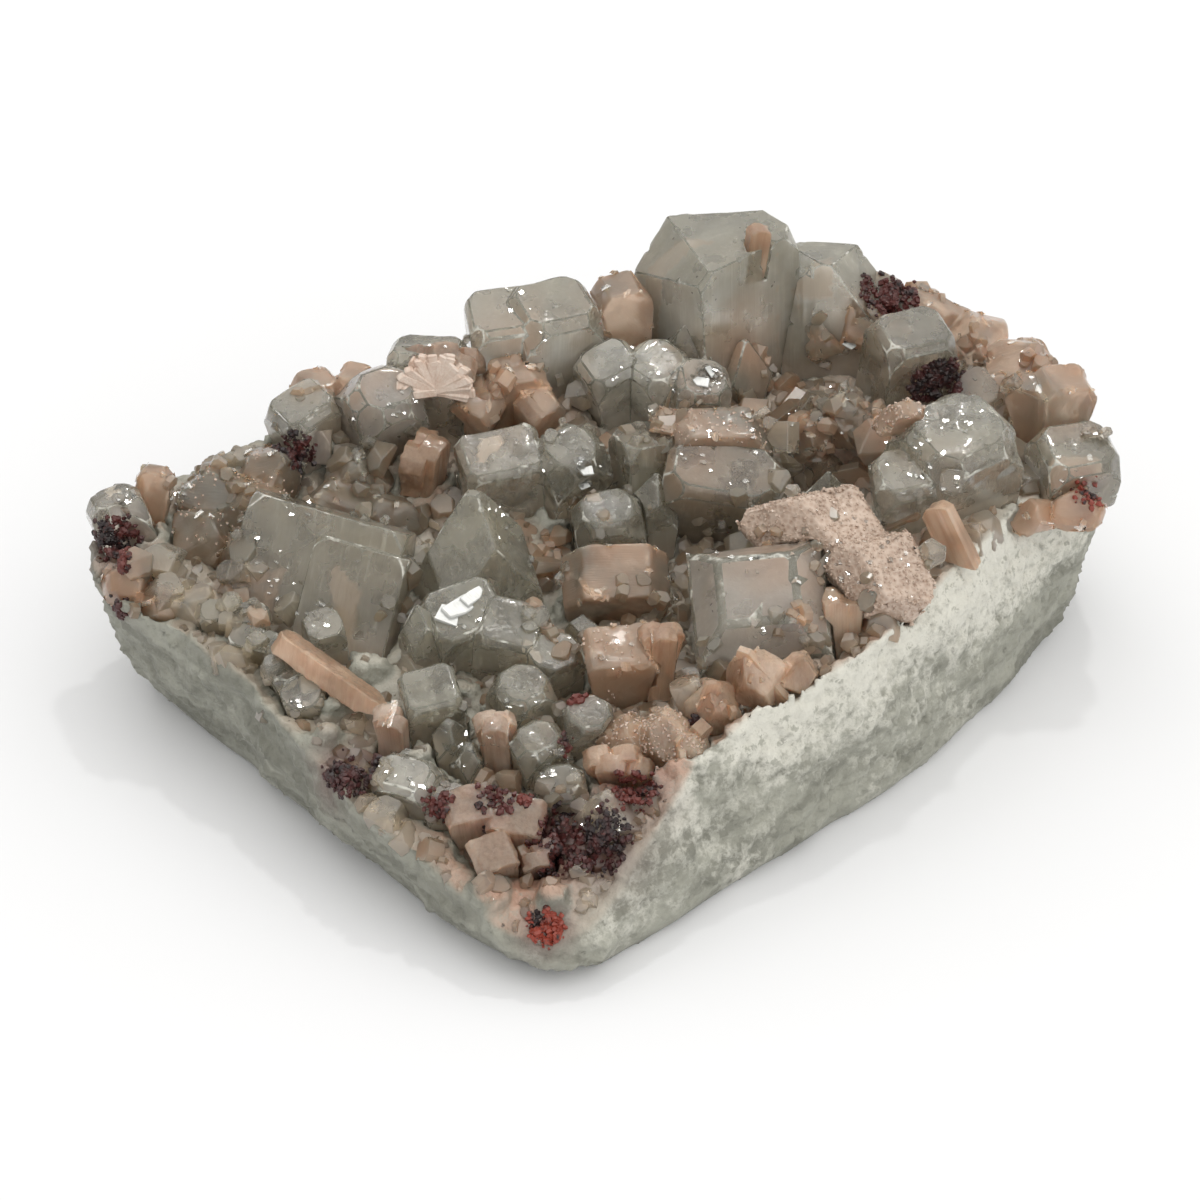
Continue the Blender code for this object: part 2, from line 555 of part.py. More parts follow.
def rock_object(material):
    """Loft from the sawn base up the wall, over the rim and down into the hollow."""
    bm = bmesh.new()
    rings = []

    def ring(at):
        rings.append([bm.verts.new(Vector(at(2 * math.pi * k / AROUND - math.pi)) * MM)
                      for k in range(AROUND)])

    def knob(x, y, z):
        p = Vector((x, y, z)) * 0.11
        return KNOB * noise.noise(p) + NODULE * noise.noise(p * 2.7 + Vector((9, 4, 2)))

    def plan(angle, radius):
        return (CENTRE[0] + radius * math.cos(angle), CENTRE[1] + radius * math.sin(angle))

    def foot(angle):
        return (*plan(angle, on_ring(FOOT_POLAR, 1, angle) - BEVEL), 0.0)

    ring(foot)
    for share in WALL_RINGS:
        def wall(angle, share=share):
            low, high = on_ring(FOOT_POLAR, 1, angle), on_ring(RIM_POLAR, 1, angle)
            z = BEVEL + share * (on_ring(RIM_POLAR, 2, angle) - BEVEL)
            smooth = low + (high - low) * share + BELLY * math.sin(math.pi * share)
            rough = knob(*plan(angle, smooth), z) * min(1.0, 0.3 + 3 * share)
            return (*plan(angle, smooth + rough), z)
        ring(wall)
    for share in CRUST_RINGS:
        def top(angle, share=share):
            x, y = plan(angle, share * on_ring(RIM_POLAR, 1, angle))
            return (x, y, crust(x, y) + 1.2 * knob(x, y, 40))
        ring(top)

    for low, high in zip(rings, rings[1:]):
        for k in range(AROUND):
            m = (k + 1) % AROUND
            bm.faces.new((low[k], low[m], high[m], high[k]))
    bm.faces.new(list(reversed(rings[0])))
    middle = bm.verts.new(Vector((*CENTRE, crust(*CENTRE))) * MM)
    for k in range(AROUND):
        bm.faces.new((rings[-1][k], rings[-1][(k + 1) % AROUND], middle))
    bmesh.ops.triangulate(bm, faces=bm.faces)
    return new_object("rock", bm, material)


def build():
    for obj in list(bpy.data.objects):
        bpy.data.objects.remove(obj)
    finishes = {name: finish(name, *values) for name, values in FINISHES.items()}

    rows = pieces()
    boxes = [reach(cells) for name, mineral, cells in rows]
    for number, (name, mineral, cells) in enumerate(rows):
        obj = cell_object(cells[0])
        obj.name = name
        obj.data.materials.append(finishes[mineral])
        boolean(obj, [cell_object(c) for c in cells[1:]], "UNION")
        cutters = []
        for earlier in range(number):
            if meet(boxes[earlier], boxes[number]):
                cutters += [cell_object(c, GAP) for c in rows[earlier][2]]
        boolean(obj, cutters, "DIFFERENCE")
        cleaned(obj)

    rock = rock_object(finishes["rock"])
    boolean(rock, [cell_object(c) for c in small_forms()], "UNION")
    boolean(rock, [p for name, mineral, cells in rows for p in pockets(mineral, cells)],
            "DIFFERENCE")
    cleaned(rock)


build()
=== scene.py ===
"""Looks of an apophyllite, stilbite and heulandite specimen, dressed over its frame."""

import math
import random

import bmesh
import bpy
import numpy as np
from mathutils import Matrix, Vector, noise
from mathutils.bvhtree import BVHTree


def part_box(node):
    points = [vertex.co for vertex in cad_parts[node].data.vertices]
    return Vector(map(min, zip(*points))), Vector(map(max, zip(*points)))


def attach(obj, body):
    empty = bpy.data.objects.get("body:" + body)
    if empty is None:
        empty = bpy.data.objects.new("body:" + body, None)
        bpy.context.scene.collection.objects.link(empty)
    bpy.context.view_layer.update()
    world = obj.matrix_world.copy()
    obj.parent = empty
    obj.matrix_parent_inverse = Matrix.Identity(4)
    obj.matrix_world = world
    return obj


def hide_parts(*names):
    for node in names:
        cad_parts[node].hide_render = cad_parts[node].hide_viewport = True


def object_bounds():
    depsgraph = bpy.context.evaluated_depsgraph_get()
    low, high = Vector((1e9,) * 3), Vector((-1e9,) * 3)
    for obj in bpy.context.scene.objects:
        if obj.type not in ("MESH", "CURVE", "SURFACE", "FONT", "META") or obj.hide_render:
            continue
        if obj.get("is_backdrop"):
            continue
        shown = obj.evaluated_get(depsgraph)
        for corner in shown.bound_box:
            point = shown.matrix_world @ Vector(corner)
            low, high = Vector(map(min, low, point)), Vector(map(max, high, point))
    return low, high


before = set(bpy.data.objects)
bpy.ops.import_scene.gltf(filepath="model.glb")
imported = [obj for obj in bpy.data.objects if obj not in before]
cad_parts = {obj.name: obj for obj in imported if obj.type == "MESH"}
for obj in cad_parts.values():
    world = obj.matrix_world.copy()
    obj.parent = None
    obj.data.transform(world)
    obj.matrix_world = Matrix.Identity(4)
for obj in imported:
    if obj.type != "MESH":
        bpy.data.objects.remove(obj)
CAD_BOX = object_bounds()
MM = 0.001

# Camera: the photograph's viewing angle
PHOTO_SIDE = 1200
ELEVATION = 36.0
LAMP = (0.15, 0.45, 1.05)   # small lamp that makes the glints
AWAY = 0.520
AIM = Vector((0.0, 0.0, 0.020))
SENSOR = 36.0
SKY = ((0.0, (0.52, 0.51, 0.49)), (0.20, (0.62, 0.61, 0.585)), (0.60, (1.05, 1.035, 0.995)),
       (1.0, (1.18, 1.16, 1.115)))
WARM = (1.0, 0.985, 0.95)   # tint of the lamps
LENS = 116.4

# Rock
VOXEL = 0.70 * MM
STRIP = 2.2 * MM          # height of the smooth strip along the sawn edge

# Crystal dressing
EDGE_BEVEL = 0.16 * MM
LONGEST_EDGE = 1.15 * MM
WAVE = 0.10 * MM
FARTHEST = 0.45 * MM      # how far a dressed surface may stand off its solid



# Shader expressions

class Wire:
    """A shader socket that can be added, multiplied and so on like a number."""

    def __init__(self, graph, socket):
        self.graph = graph
        self.socket = socket

    def _maths(self, operation, a, b):
        return self.graph.node("ShaderNodeMath", {"operation": operation}, {0: a, 1: b})[0]

    def __add__(self, other):
        return self._maths("ADD", self, other)

    def __radd__(self, other):
        return self._maths("ADD", other, self)

    def __sub__(self, other):
        return self._maths("SUBTRACT", self, other)

    def __rsub__(self, other):
        return self._maths("SUBTRACT", other, self)

    def __mul__(self, other):
        return self._maths("MULTIPLY", self, other)

    def __rmul__(self, other):
        return self._maths("MULTIPLY", other, self)

    def __truediv__(self, other):
        return self._maths("DIVIDE", self, other)

    def __pow__(self, other):
        return self._maths("POWER", self, other)

    def below(self, other):
        return self._maths("MINIMUM", self, other)

    def above(self, other):
        return self._maths("MAXIMUM", self, other)

    def step(self, low, high):
        """0 below low, 1 above high, eased between."""
        settings = {"interpolation_type": "SMOOTHSTEP"}
        return self.graph.node("ShaderNodeMapRange", settings,
                               {"Value": self, "From Min": low, "From Max": high})[0]


class Graph:
    """The node tree of one finish."""

    def __init__(self, name, sky_tree=None):
        if sky_tree:
            self.tree = sky_tree
        else:
            self.material = bpy.data.materials.new(name)
            self.material.use_nodes = True
            self.tree = self.material.node_tree
        self.tree.nodes.clear()
        self.out = self.tree.nodes.new(
            "ShaderNodeOutputWorld" if sky_tree else "ShaderNodeOutputMaterial")
        coordinates = self.node("ShaderNodeTexCoord")
        self.place = coordinates["Object"]
        self.place_generated = coordinates["Generated"]

    def node(self, kind, settings=None, values=None):
        """Add a node: its settings, then the values or links of its sockets."""
        made = self.tree.nodes.new(kind)
        for key, value in (settings or {}).items():
            if key == "stops":
                ramp = made.color_ramp
                while len(ramp.elements) < len(value):
                    ramp.elements.new(1.0)
                for element, (at, colour) in zip(ramp.elements, value):
                    element.position = at
                    element.color = (*colour, 1.0)
            else:
                setattr(made, key, value)
        for key, value in (values or {}).items():
            socket = made.inputs[key]
            if isinstance(value, Wire):
                self.tree.links.new(value.socket, socket)
            elif socket.type == "RGBA" and len(value) == 3:
                socket.default_value = (*value, 1.0)
            else:
                socket.default_value = value
        return Outputs(self, made)

    def noise(self, scale, detail=3.0, roughness=0.55, at=None, distortion=0.0):
        values = {"Vector": at or self.place, "Scale": scale, "Detail": detail,
                  "Roughness": roughness, "Distortion": distortion}
        return self.node("ShaderNodeTexNoise", {}, values)["Fac"]

    def cells(self, scale, feature="F1", at=None):
        return self.node("ShaderNodeTexVoronoi", {"feature": feature},
                         {"Vector": at or self.place, "Scale": scale})

    def mix(self, factor, a, b):
        """Blend of two colours."""
        return self.node("ShaderNodeMix", {"data_type": "RGBA"}, {0: factor, 6: a, 7: b})[2]

    def stretch(self, vector, by):
        """A vector multiplied by three numbers."""
        return self.node("ShaderNodeVectorMath", {"operation": "MULTIPLY"},
                         {0: vector, 1: by})[0]

    def attribute(self, name, output="Fac"):
        return self.node("ShaderNodeAttribute", {"attribute_name": name})[output]

    def bump(self, height, distance, strength=1.0, normal=None):
        values = {"Height": height, "Distance": distance, "Strength": strength}
        if normal:
            values["Normal"] = normal
        return self.node("ShaderNodeBump", {}, values)["Normal"]

    def principled(self, values):
        return self.node("ShaderNodeBsdfPrincipled", {"subsurface_method": "BURLEY"}, values)["BSDF"]

    def blend(self, factor, a, b):
        """Mix of two shaders."""
        return self.node("ShaderNodeMixShader", {}, {0: factor, 1: a, 2: b})[0]

    def finish(self, surface):
        self.tree.links.new(surface.socket, self.out.inputs["Surface"])
        return self.material


class Outputs:
    """The output sockets of a node, by name or number."""

    def __init__(self, graph, made):
        self.graph = graph
        self.made = made

    def __getitem__(self, key):
        return Wire(self.graph, self.made.outputs[key])


# Finishes

def apophyllite_finish(name, pale, shade, cloud):
    """Glassy grey-green crystal with milky veils, upright striations and etched faces."""
    g = Graph(name)
    grain = g.attribute("grain", "Vector")
    veil = g.noise(170, 3, 0.62)
    wisp = g.noise(60, 1, 0.5, distortion=1.2)
    low = g.attribute("low")
    milk = (veil * 0.65 + wisp * 0.45).step(0.50 - cloud * 0.16, 0.76 - cloud * 0.10)
    stripes = g.noise(1.6, 2, 0.65, at=g.stretch(grain, (1.0, 1.0, 0.04)))
    normal = g.bump(stripes, 0.18 * MM, 0.40)
    colour = g.mix(wisp.step(0.35, 0.7), pale, shade)
    colour = g.mix(stripes.step(0.56, 0.70) * 0.40, colour, (0.66, 0.64, 0.55))
    colour = g.mix(low.step(0.0, 1.0) * (0.20 + 0.6 * wisp), colour, (0.46, 0.35, 0.26))
    colour = g.mix(g.attribute("blush") * wisp.step(0.20, 0.70) * 0.7, colour, (0.60, 0.37, 0.25))
    colour = g.mix(g.attribute("rust") * veil.step(0.40, 0.60), colour, (0.13, 0.03, 0.026))
    rough = veil.step(0.35, 0.70) * (0.18 + 0.20 * cloud) + 0.08 + 0.16 * cloud + low * 0.15
    glow = g.mix(low.step(0.0, 0.9) * 0.7, (0.98, 0.965, 0.90), (0.97, 0.84, 0.70))
    clear = g.principled({
        "Base Color": g.mix(wisp.step(0.4, 0.65) * 0.5, glow, (0.85, 0.82, 0.71)),
        "Roughness": rough, "Normal": normal, "IOR": 1.535, "Transmission Weight": 1.0,
        "Coat Weight": 0.8, "Coat Roughness": 0.04})
    milky = g.principled({
        "Base Color": colour, "Roughness": rough + 0.10, "Normal": normal, "IOR": 1.535,
        "Subsurface Weight": 0.8, "Subsurface Radius": (1.0, 0.92, 0.72),
        "Subsurface Scale": 5.0 * MM, "Coat Weight": 0.8, "Coat Roughness": 0.04})
    share = (milk * 0.30 + 0.06 + 0.30 * cloud).above(low.step(0.30, 1.0) * 0.6)
    return g.finish(g.blend(share, clear, milky))


def pearly_finish(name, pale, deep, core):
    """Heulandite: translucent peach tablets with a pearly face and darker hearts."""
    g = Graph(name)
    grain = g.attribute("grain", "Vector")
    blotch = g.noise(150, 3, 0.6)
    heart = g.noise(75, 1, 0.5, distortion=0.8)
    plates = g.noise(2.2, 2, 0.6, at=g.stretch(grain, (0.15, 2.4, 0.15)))
    frost = g.noise(1300, 2, 0.62)
    colour = g.mix(blotch.step(0.30, 0.70), deep, pale)
    colour = g.mix(heart.step(0.50, 0.76) * 0.75, colour, core)
    colour = g.mix(heart.step(0.48, 0.30) * 0.75, colour, (0.47, 0.43, 0.35))
    colour = g.mix(g.attribute("low").step(0.1, 1.0) * 0.5, colour, core)
    colour = g.mix(frost.step(0.60, 0.74) * 0.25, colour, (0.86, 0.76, 0.66))
    colour = g.mix(g.attribute("rust") * blotch.step(0.38, 0.58), colour, (0.12, 0.025, 0.022))
    normal = g.bump(plates, 0.14 * MM, 0.35)
    body = g.principled({
        "Base Color": colour, "Roughness": blotch * 0.25 + 0.14, "Normal": normal, "IOR": 1.50,
        "Subsurface Weight": 0.8, "Subsurface Radius": (1.0, 0.55, 0.38),
        "Subsurface Scale": 3.2 * MM, "Coat Weight": 0.40, "Coat Roughness": 0.22})
    glassy = g.principled({
        "Base Color": g.mix(0.5, colour, (1.0, 0.90, 0.74)), "Roughness": blotch * 0.35 + 0.18,
        "Normal": normal, "IOR": 1.50, "Transmission Weight": 1.0, "Coat Weight": 0.6,
        "Coat Roughness": 0.18})
    return g.finish(g.blend(heart.step(0.36, 0.60) * 0.25 + 0.28, glassy, body))


def silky_finish(name, pale, deep, tip):
    """Stilbite: silky blades striated along their length, paler in blotches."""
    g = Graph(name)
    grain = g.attribute("grain", "Vector")
    lines = g.noise(2.0, 3, 0.6, at=g.stretch(grain, (1.0, 1.0, 0.03)))
    fibre = g.noise(9.0, 2, 0.6, at=g.stretch(grain, (1.0, 1.0, 0.02)))
    blotch = g.noise(160, 2, 0.6)
    colour = g.mix(lines.step(0.30, 0.70), deep, pale)
    colour = g.mix(blotch.step(0.44, 0.72) * 0.75, colour, tip)
    colour = g.mix(fibre.step(0.58, 0.72) * 0.35, colour, (0.92, 0.80, 0.68))
    colour = g.mix(g.attribute("rust") * blotch.step(0.38, 0.58), colour, (0.16, 0.028, 0.022))
    normal = g.bump(lines, 0.16 * MM, 0.50)
    body = g.principled({
        "Base Color": colour, "Roughness": lines * 0.25 + 0.16, "Normal": normal, "IOR": 1.50,
        "Subsurface Weight": 0.8, "Subsurface Radius": (1.0, 0.5, 0.32),
        "Subsurface Scale": 2.6 * MM, "Coat Weight": 0.40, "Coat Roughness": 0.12})
    glassy = g.principled({
        "Base Color": g.mix(0.5, colour, (1.0, 0.86, 0.70)), "Roughness": lines * 0.3 + 0.25,
        "Normal": normal, "IOR": 1.50, "Transmission Weight": 1.0, "Coat Weight": 0.5,
        "Coat Roughness": 0.12})
    return g.finish(g.blend(blotch.step(0.40, 0.60) * 0.25 + 0.35, glassy, body))


def druse_finish(name, pale, deep):
    """Sugary skin of tiny crystals that glitter."""
    g = Graph(name)
    tone = g.noise(160, 3, 0.6)
    sugar = g.cells(1500)
    colour = g.mix(tone.step(0.32, 0.68), deep, pale)
    colour = g.mix(sugar["Distance"].step(0.0, 0.9) * 0.35, colour, (0.80, 0.68, 0.58))
    return g.finish(g.principled({
        "Base Color": colour, "Roughness": tone * 0.2 + 0.10, "IOR": 1.5,
        "Normal": g.bump(sugar["Distance"], 0.25 * MM, 0.6), "Coat Weight": 0.5,
        "Coat Roughness": 0.08}))


def iron_finish():
    """Dark maroon iron oxide: dull grains, redder and blacker in places."""
    g = Graph("hematite_crumbs")
    tone = g.noise(330, 4, 0.65)
    speck = g.noise(1500, 2, 0.5)
    colour = g.mix(tone.step(0.38, 0.62), (0.016, 0.009, 0.010), (0.070, 0.016, 0.015))
    colour = g.mix(speck.step(0.62, 0.74) * 0.5, colour, (0.16, 0.05, 0.04))
    colour = g.mix(g.attribute("red") * tone.step(0.40, 0.50), colour, (0.26, 0.040, 0.022))
    return g.finish(g.principled({
        "Base Color": colour, "Roughness": speck * 0.4 + 0.25, "Specular IOR Level": 0.6,
        "Normal": g.bump(speck, 0.05 * MM, 0.6)}))


def rock_finish():
    """Granular rock: grey-green ground, white crumbs, a stained and glassy crust."""
    g = Graph("granular_rock")
    crust = g.attribute("crust")
    upper = g.attribute("upper")
    tone = g.noise(70, 6, 0.66, distortion=0.3)
    crumbs = g.noise(520, 4, 0.72)
    veins = g.noise(75, 5, 0.6, at=g.stretch(g.place, (1.0, 1.0, 2.6)), distortion=0.9)
    pits = g.cells(900)["Distance"]
    ground = g.mix(veins.step(0.36, 0.62), (0.205, 0.205, 0.170), (0.34, 0.34, 0.29))
    # White crumbs, more of them toward the top and the right of the rock
    white = (tone * 0.70 + crumbs * 0.62 + upper * 0.28).step(0.68, 0.90)
    colour = g.mix(white, ground, (0.64, 0.63, 0.565))
    colour = g.mix(crumbs.step(0.57, 0.66) * 0.55, colour, (0.20, 0.205, 0.165))
    glaze = g.mix(tone.step(0.40, 0.58), (0.34, 0.29, 0.23), (0.42, 0.40, 0.34))
    glaze = g.mix(g.attribute("blush") * crumbs.step(0.30, 0.52), glaze, (0.55, 0.32, 0.23))
    colour = g.mix((crust + (tone - 0.5) * 0.8).step(0.25, 0.75), colour, glaze)
    colour = g.mix(g.attribute("rust") * tone.step(0.36, 0.54), colour, (0.09, 0.022, 0.02))
    normal = g.bump(crumbs, 0.60 * MM, 0.75)
    normal = g.bump(pits, 0.25 * MM, 0.50, normal)
    return g.finish(g.principled({
        "Base Color": colour, "Roughness": crumbs * 0.4 + 0.36 - crust * 0.22, "Normal": normal,
        "Specular IOR Level": 0.5, "Coat Weight": crust * 0.4}))


def flake_finish():
    """Clear cleavage flakes that only show where they mirror the lamp."""
    g = Graph("cleavage_flakes")
    tone = g.noise(500, 3, 0.6)
    return g.finish(g.principled({
        "Base Color": g.mix(tone, (1.0, 1.0, 0.98), (0.90, 0.91, 0.88)), "IOR": 1.6,
        "Roughness": tone * 0.12 + 0.04, "Transmission Weight": 1.0}))


def pearl_finish(name, pale, deep):
    """Pearly cleavage and the silky fan: bright, finely ribbed. On the cleavage plates the pale colour is
    painted highlight.
    """
    g = Graph(name)
    grain = g.attribute("grain", "Vector")
    ribs = g.noise(3.0, 3, 0.6, at=g.stretch(grain, (1.0, 0.2, 1.0)))
    tone = g.noise(200, 2, 0.6)
    colour = g.mix(tone.step(0.35, 0.65) * 0.6 + ribs.step(0.40, 0.65) * 0.4, pale, deep)
    return g.finish(g.principled({
        "Base Color": colour, "Roughness": ribs * 0.30 + 0.26,
        "Normal": g.bump(ribs, 0.14 * MM, 0.6), "Coat Weight": 0.3, "Coat Roughness": 0.20}))


def edge_finish(name, colour):
    """Worn edges: glassy, and pale here and there, which is frosted wear and painted highlight."""
    g = Graph(name)
    tone = g.noise(260, 4, 0.65)
    # Pale patches of the edges: frosted wear and painted highlight
    frost = tone.step(0.52, 0.66)
    glassy = g.principled({
        "Base Color": (0.95, 0.94, 0.88), "Roughness": tone * 0.2 + 0.03, "IOR": 1.5,
        "Transmission Weight": 1.0})
    frosted_and_highlit = g.principled({
        "Base Color": g.mix(frost, colour, (0.72, 0.71, 0.65)), "Roughness": tone * 0.3 + 0.12,
        "Coat Weight": 0.4, "Coat Roughness": 0.08})
    return g.finish(g.blend(frost * 0.5 + 0.30, glassy, frosted_and_highlit))


def veil_finish():
    """Healed cracks and growth layers inside the crystals: thin whitish sheets."""
    g = Graph("healed_cracks")
    grain = g.attribute("grain", "Vector")
    patch = g.noise(0.9, 5, 0.65, at=g.stretch(grain, (1.0, 0.35, 1.0)), distortion=0.5)
    return g.finish(g.principled({
        "Base Color": g.mix(patch, (0.62, 0.60, 0.52), (0.90, 0.90, 0.84)), "Roughness": 0.22,
        "Alpha": patch.step(0.44, 0.72) * 0.62, "Specular IOR Level": 0.8}))


def floor_finish():
    g = Graph("pale_floor")
    tone = g.noise(3.0, 2, 0.5)
    return g.finish(g.principled({
        "Base Color": g.mix(tone, (0.80, 0.81, 0.84), (0.82, 0.83, 0.86)), "Roughness": 0.9}))


# Mesh helpers

def mesh_object(name, corners, faces, finishes, grain=None, face_finish=None):
    """New object in metres from corner and face lists."""
    mesh = bpy.data.meshes.new(name)
    mesh.from_pydata(corners, [], faces)
    for finish in finishes:
        mesh.materials.append(finish)
    if face_finish is not None:
        mesh.polygons.foreach_set("material_index", face_finish)
    if grain is not None:
        add_layer(mesh, "grain", "FLOAT_VECTOR", "vector", grain)
    mesh.validate()
    obj = bpy.data.objects.new(name, mesh)
    bpy.context.scene.collection.objects.link(obj)
    return obj


def mesh_points(mesh):
    points = np.empty(len(mesh.vertices) * 3, np.float32)
    mesh.vertices.foreach_get("co", points)
    return points.reshape(-1, 3).astype(np.float64)


def add_layer(mesh, name, kind, field, values):
    layer = mesh.attributes.new(name, kind, "POINT")
    layer.data.foreach_set(field, np.asarray(values, np.float32).ravel())


def nearness(points, spots, spread):
    """How near each point lies to any of the spots: 1 at one, fading out past its radius."""
    total = np.zeros(len(points))
    for centre, radius in spots:
        away = np.linalg.norm(points - np.array(centre), axis=1) / (radius * MM * spread)
        total = np.maximum(total, np.exp(-away ** 2))
    return total


def above_rock(point, solid_rock):
    """1 inside the rock, fading to 0 at 4 mm above it."""
    near, normal, face, distance = solid_rock.find_nearest(point)
    if (point - near).dot(normal) < 0:
        return 1.0
    return 1 - min(1.0, distance / (4 * MM))


def stain(obj, blush, rust, solid_rock):
    """Where a piece is tinted: peach blush, red rust, and the brown of the crust below."""
    points = mesh_points(obj.data)
    add_layer(obj.data, "blush", "FLOAT", "value", nearness(points, blush, 1.3))
    add_layer(obj.data, "rust", "FLOAT", "value", nearness(points, rust, 1.25))
    low = [above_rock(Vector(p), solid_rock) for p in points]
    add_layer(obj.data, "low", "FLOAT", "value", low)


def belongs(obj, slot):
    """The piece rides on the specimen; the slot is not used."""
    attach(obj, "root")
    return obj


def rock_tree(objects):
    """Search tree over several meshes, with the object that each face belongs to."""
    corners, faces, owner = [], [], []
    for obj in objects:
        start = len(corners)
        corners += [v.co.copy() for v in obj.data.vertices]
        for p in obj.data.polygons:
            faces.append([start + i for i in p.vertices])
            owner.append(obj.name)
    return BVHTree.FromPolygons(corners, faces), owner


def unit(azimuth, elevation):
    a, e = math.radians(azimuth), math.radians(elevation)
    return Vector((math.cos(e) * math.cos(a), math.cos(e) * math.sin(a), math.sin(e)))


# Crystal forms for the small crystals, one unit wide, tip at the origin

def hull(planes, worn=0.03):
    """Corners and faces of the convex cell inside all planes, its edges a little worn."""
    normals = np.array([tuple(n) for n, d in planes])
    offsets = np.array([d for n, d in planes])
    bm = bmesh.new()
    for i in range(len(planes)):
        for j in range(i + 1, len(planes)):
            for k in range(j + 1, len(planes)):
                three = normals[[i, j, k]]
                if abs(np.linalg.det(three)) < 1e-6:
                    continue
                p = np.linalg.solve(three, offsets[[i, j, k]])
                if np.all(normals @ p <= offsets + 1e-6):
                    bm.verts.new(p)
    bmesh.ops.remove_doubles(bm, verts=bm.verts, dist=1e-4)
    made = bmesh.ops.convex_hull(bm, input=bm.verts)
    spare = [e for e in made["geom_interior"] if isinstance(e, bmesh.types.BMVert)]
    bmesh.ops.delete(bm, geom=spare, context="VERTS")
    bmesh.ops.dissolve_limit(bm, angle_limit=0.01, verts=bm.verts, edges=bm.edges)
    if worn:
        bmesh.ops.bevel(bm, geom=list(bm.edges), offset=worn, segments=1, profile=0.5,
                        affect="EDGES", clamp_overlap=True)
    bmesh.ops.recalc_face_normals(bm, faces=bm.faces)
    corners = np.array([tuple(v.co) for v in bm.verts])
    faces = [[v.index for v in f.verts] for f in bm.faces]
    bm.free()
    return corners, faces


def prism(width, depth, long):
    planes = [(Vector((s, 0, 0)), width / 2) for s in (1, -1)]
    planes += [(Vector((0, s, 0)), depth / 2) for s in (1, -1)]
    return planes + [(Vector((0, 0, 1)), 0.0), (Vector((0, 0, -1)), long)]


def block_form(rng, worn=0.03):
    """Blocky apophyllite with its corners cut by pyramid faces."""
    depth = rng.uniform(0.8, 1.0)
    planes = prism(1.0, depth, rng.uniform(0.8, 1.5))
    for k in range(4):
        n = unit(45 + 90 * k, 29)
        planes.append((n, abs(n.x) / 2 + abs(n.y) * depth / 2 - rng.uniform(0.06, 0.30)))
    return hull(planes, worn)


def spire_form(rng):
    planes = prism(1.0, rng.uniform(0.8, 1.0), rng.uniform(1.4, 2.2))
    planes += [(unit(45 + 90 * k, 29), -rng.uniform(0.0, 0.05)) for k in range(4)]
    return hull(planes)


def tablet_form(rng):
    planes = prism(1.0, rng.uniform(0.35, 0.7), rng.uniform(0.9, 1.3))
    for s in (1, -1):
        n = Vector((s * 0.78, 0, 0.62)).normalized()
        planes.append((n, n.x * s * rng.uniform(0.22, 0.32)))
        side = Vector((s * 0.98, 0, -0.18)).normalized()
        planes.append((side, abs(side.x) * 0.5 + 0.05))
    return hull(planes)


def blade_form(rng):
    planes = prism(0.5, rng.uniform(0.2, 0.3), rng.uniform(1.4, 2.0))
    for s in (1, -1):
        n = Vector((s * 0.55, 0, 0.83)).normalized()
        planes.append((n, rng.uniform(-0.02, 0.03)))
    return hull(planes)


def crumb_form(rng, worn=0.03):
    planes = []
    for k in range(10):
        z = 1 - 2 * (k + 0.5) / 10
        a = k * 2.4 + rng.uniform(-0.4, 0.4)
        r = math.sqrt(1 - z * z)
        planes.append((Vector((r * math.cos(a), r * math.sin(a), z)), rng.uniform(0.36, 0.5)))
    return hull(planes, worn)


def flake_form(rng):
    planes = prism(1.0, rng.uniform(0.4, 0.9), 0.14)
    for k in range(2):
        planes.append((unit(rng.uniform(0, 360), 0), rng.uniform(0.25, 0.45)))
    return hull(planes)


# The big crystals: chipped, terraced and slightly wavy copies of the frame's solids

def crystal_axis(bm):
    """Mean direction of a crystal's long upright edges."""
    total = Vector((0, 0, 1e-6))
    for edge in bm.edges:
        run = edge.verts[1].co - edge.verts[0].co
        if run.z < 0:
            run.negate()
        if run.length > 0 and run.z / run.length > 0.6:
            total += run * run.length
    return total.normalized()


def chip_corners(bm, rng, share, largest):
    """Knock small corners off."""
    corners = [v for v in bm.verts if rng.random() < share and len(v.link_edges) <= 5]
    for v in corners:
        if v.is_valid:
            shortest = min(e.calc_length() for e in v.link_edges)
            size = min(rng.uniform(0.3, 1.0) * largest, shortest * 0.4)
            if size > 0.1 * MM:
                bmesh.ops.bevel(bm, geom=[v], offset=size, segments=1, profile=0.5,
                                affect="VERTICES", clamp_overlap=True)


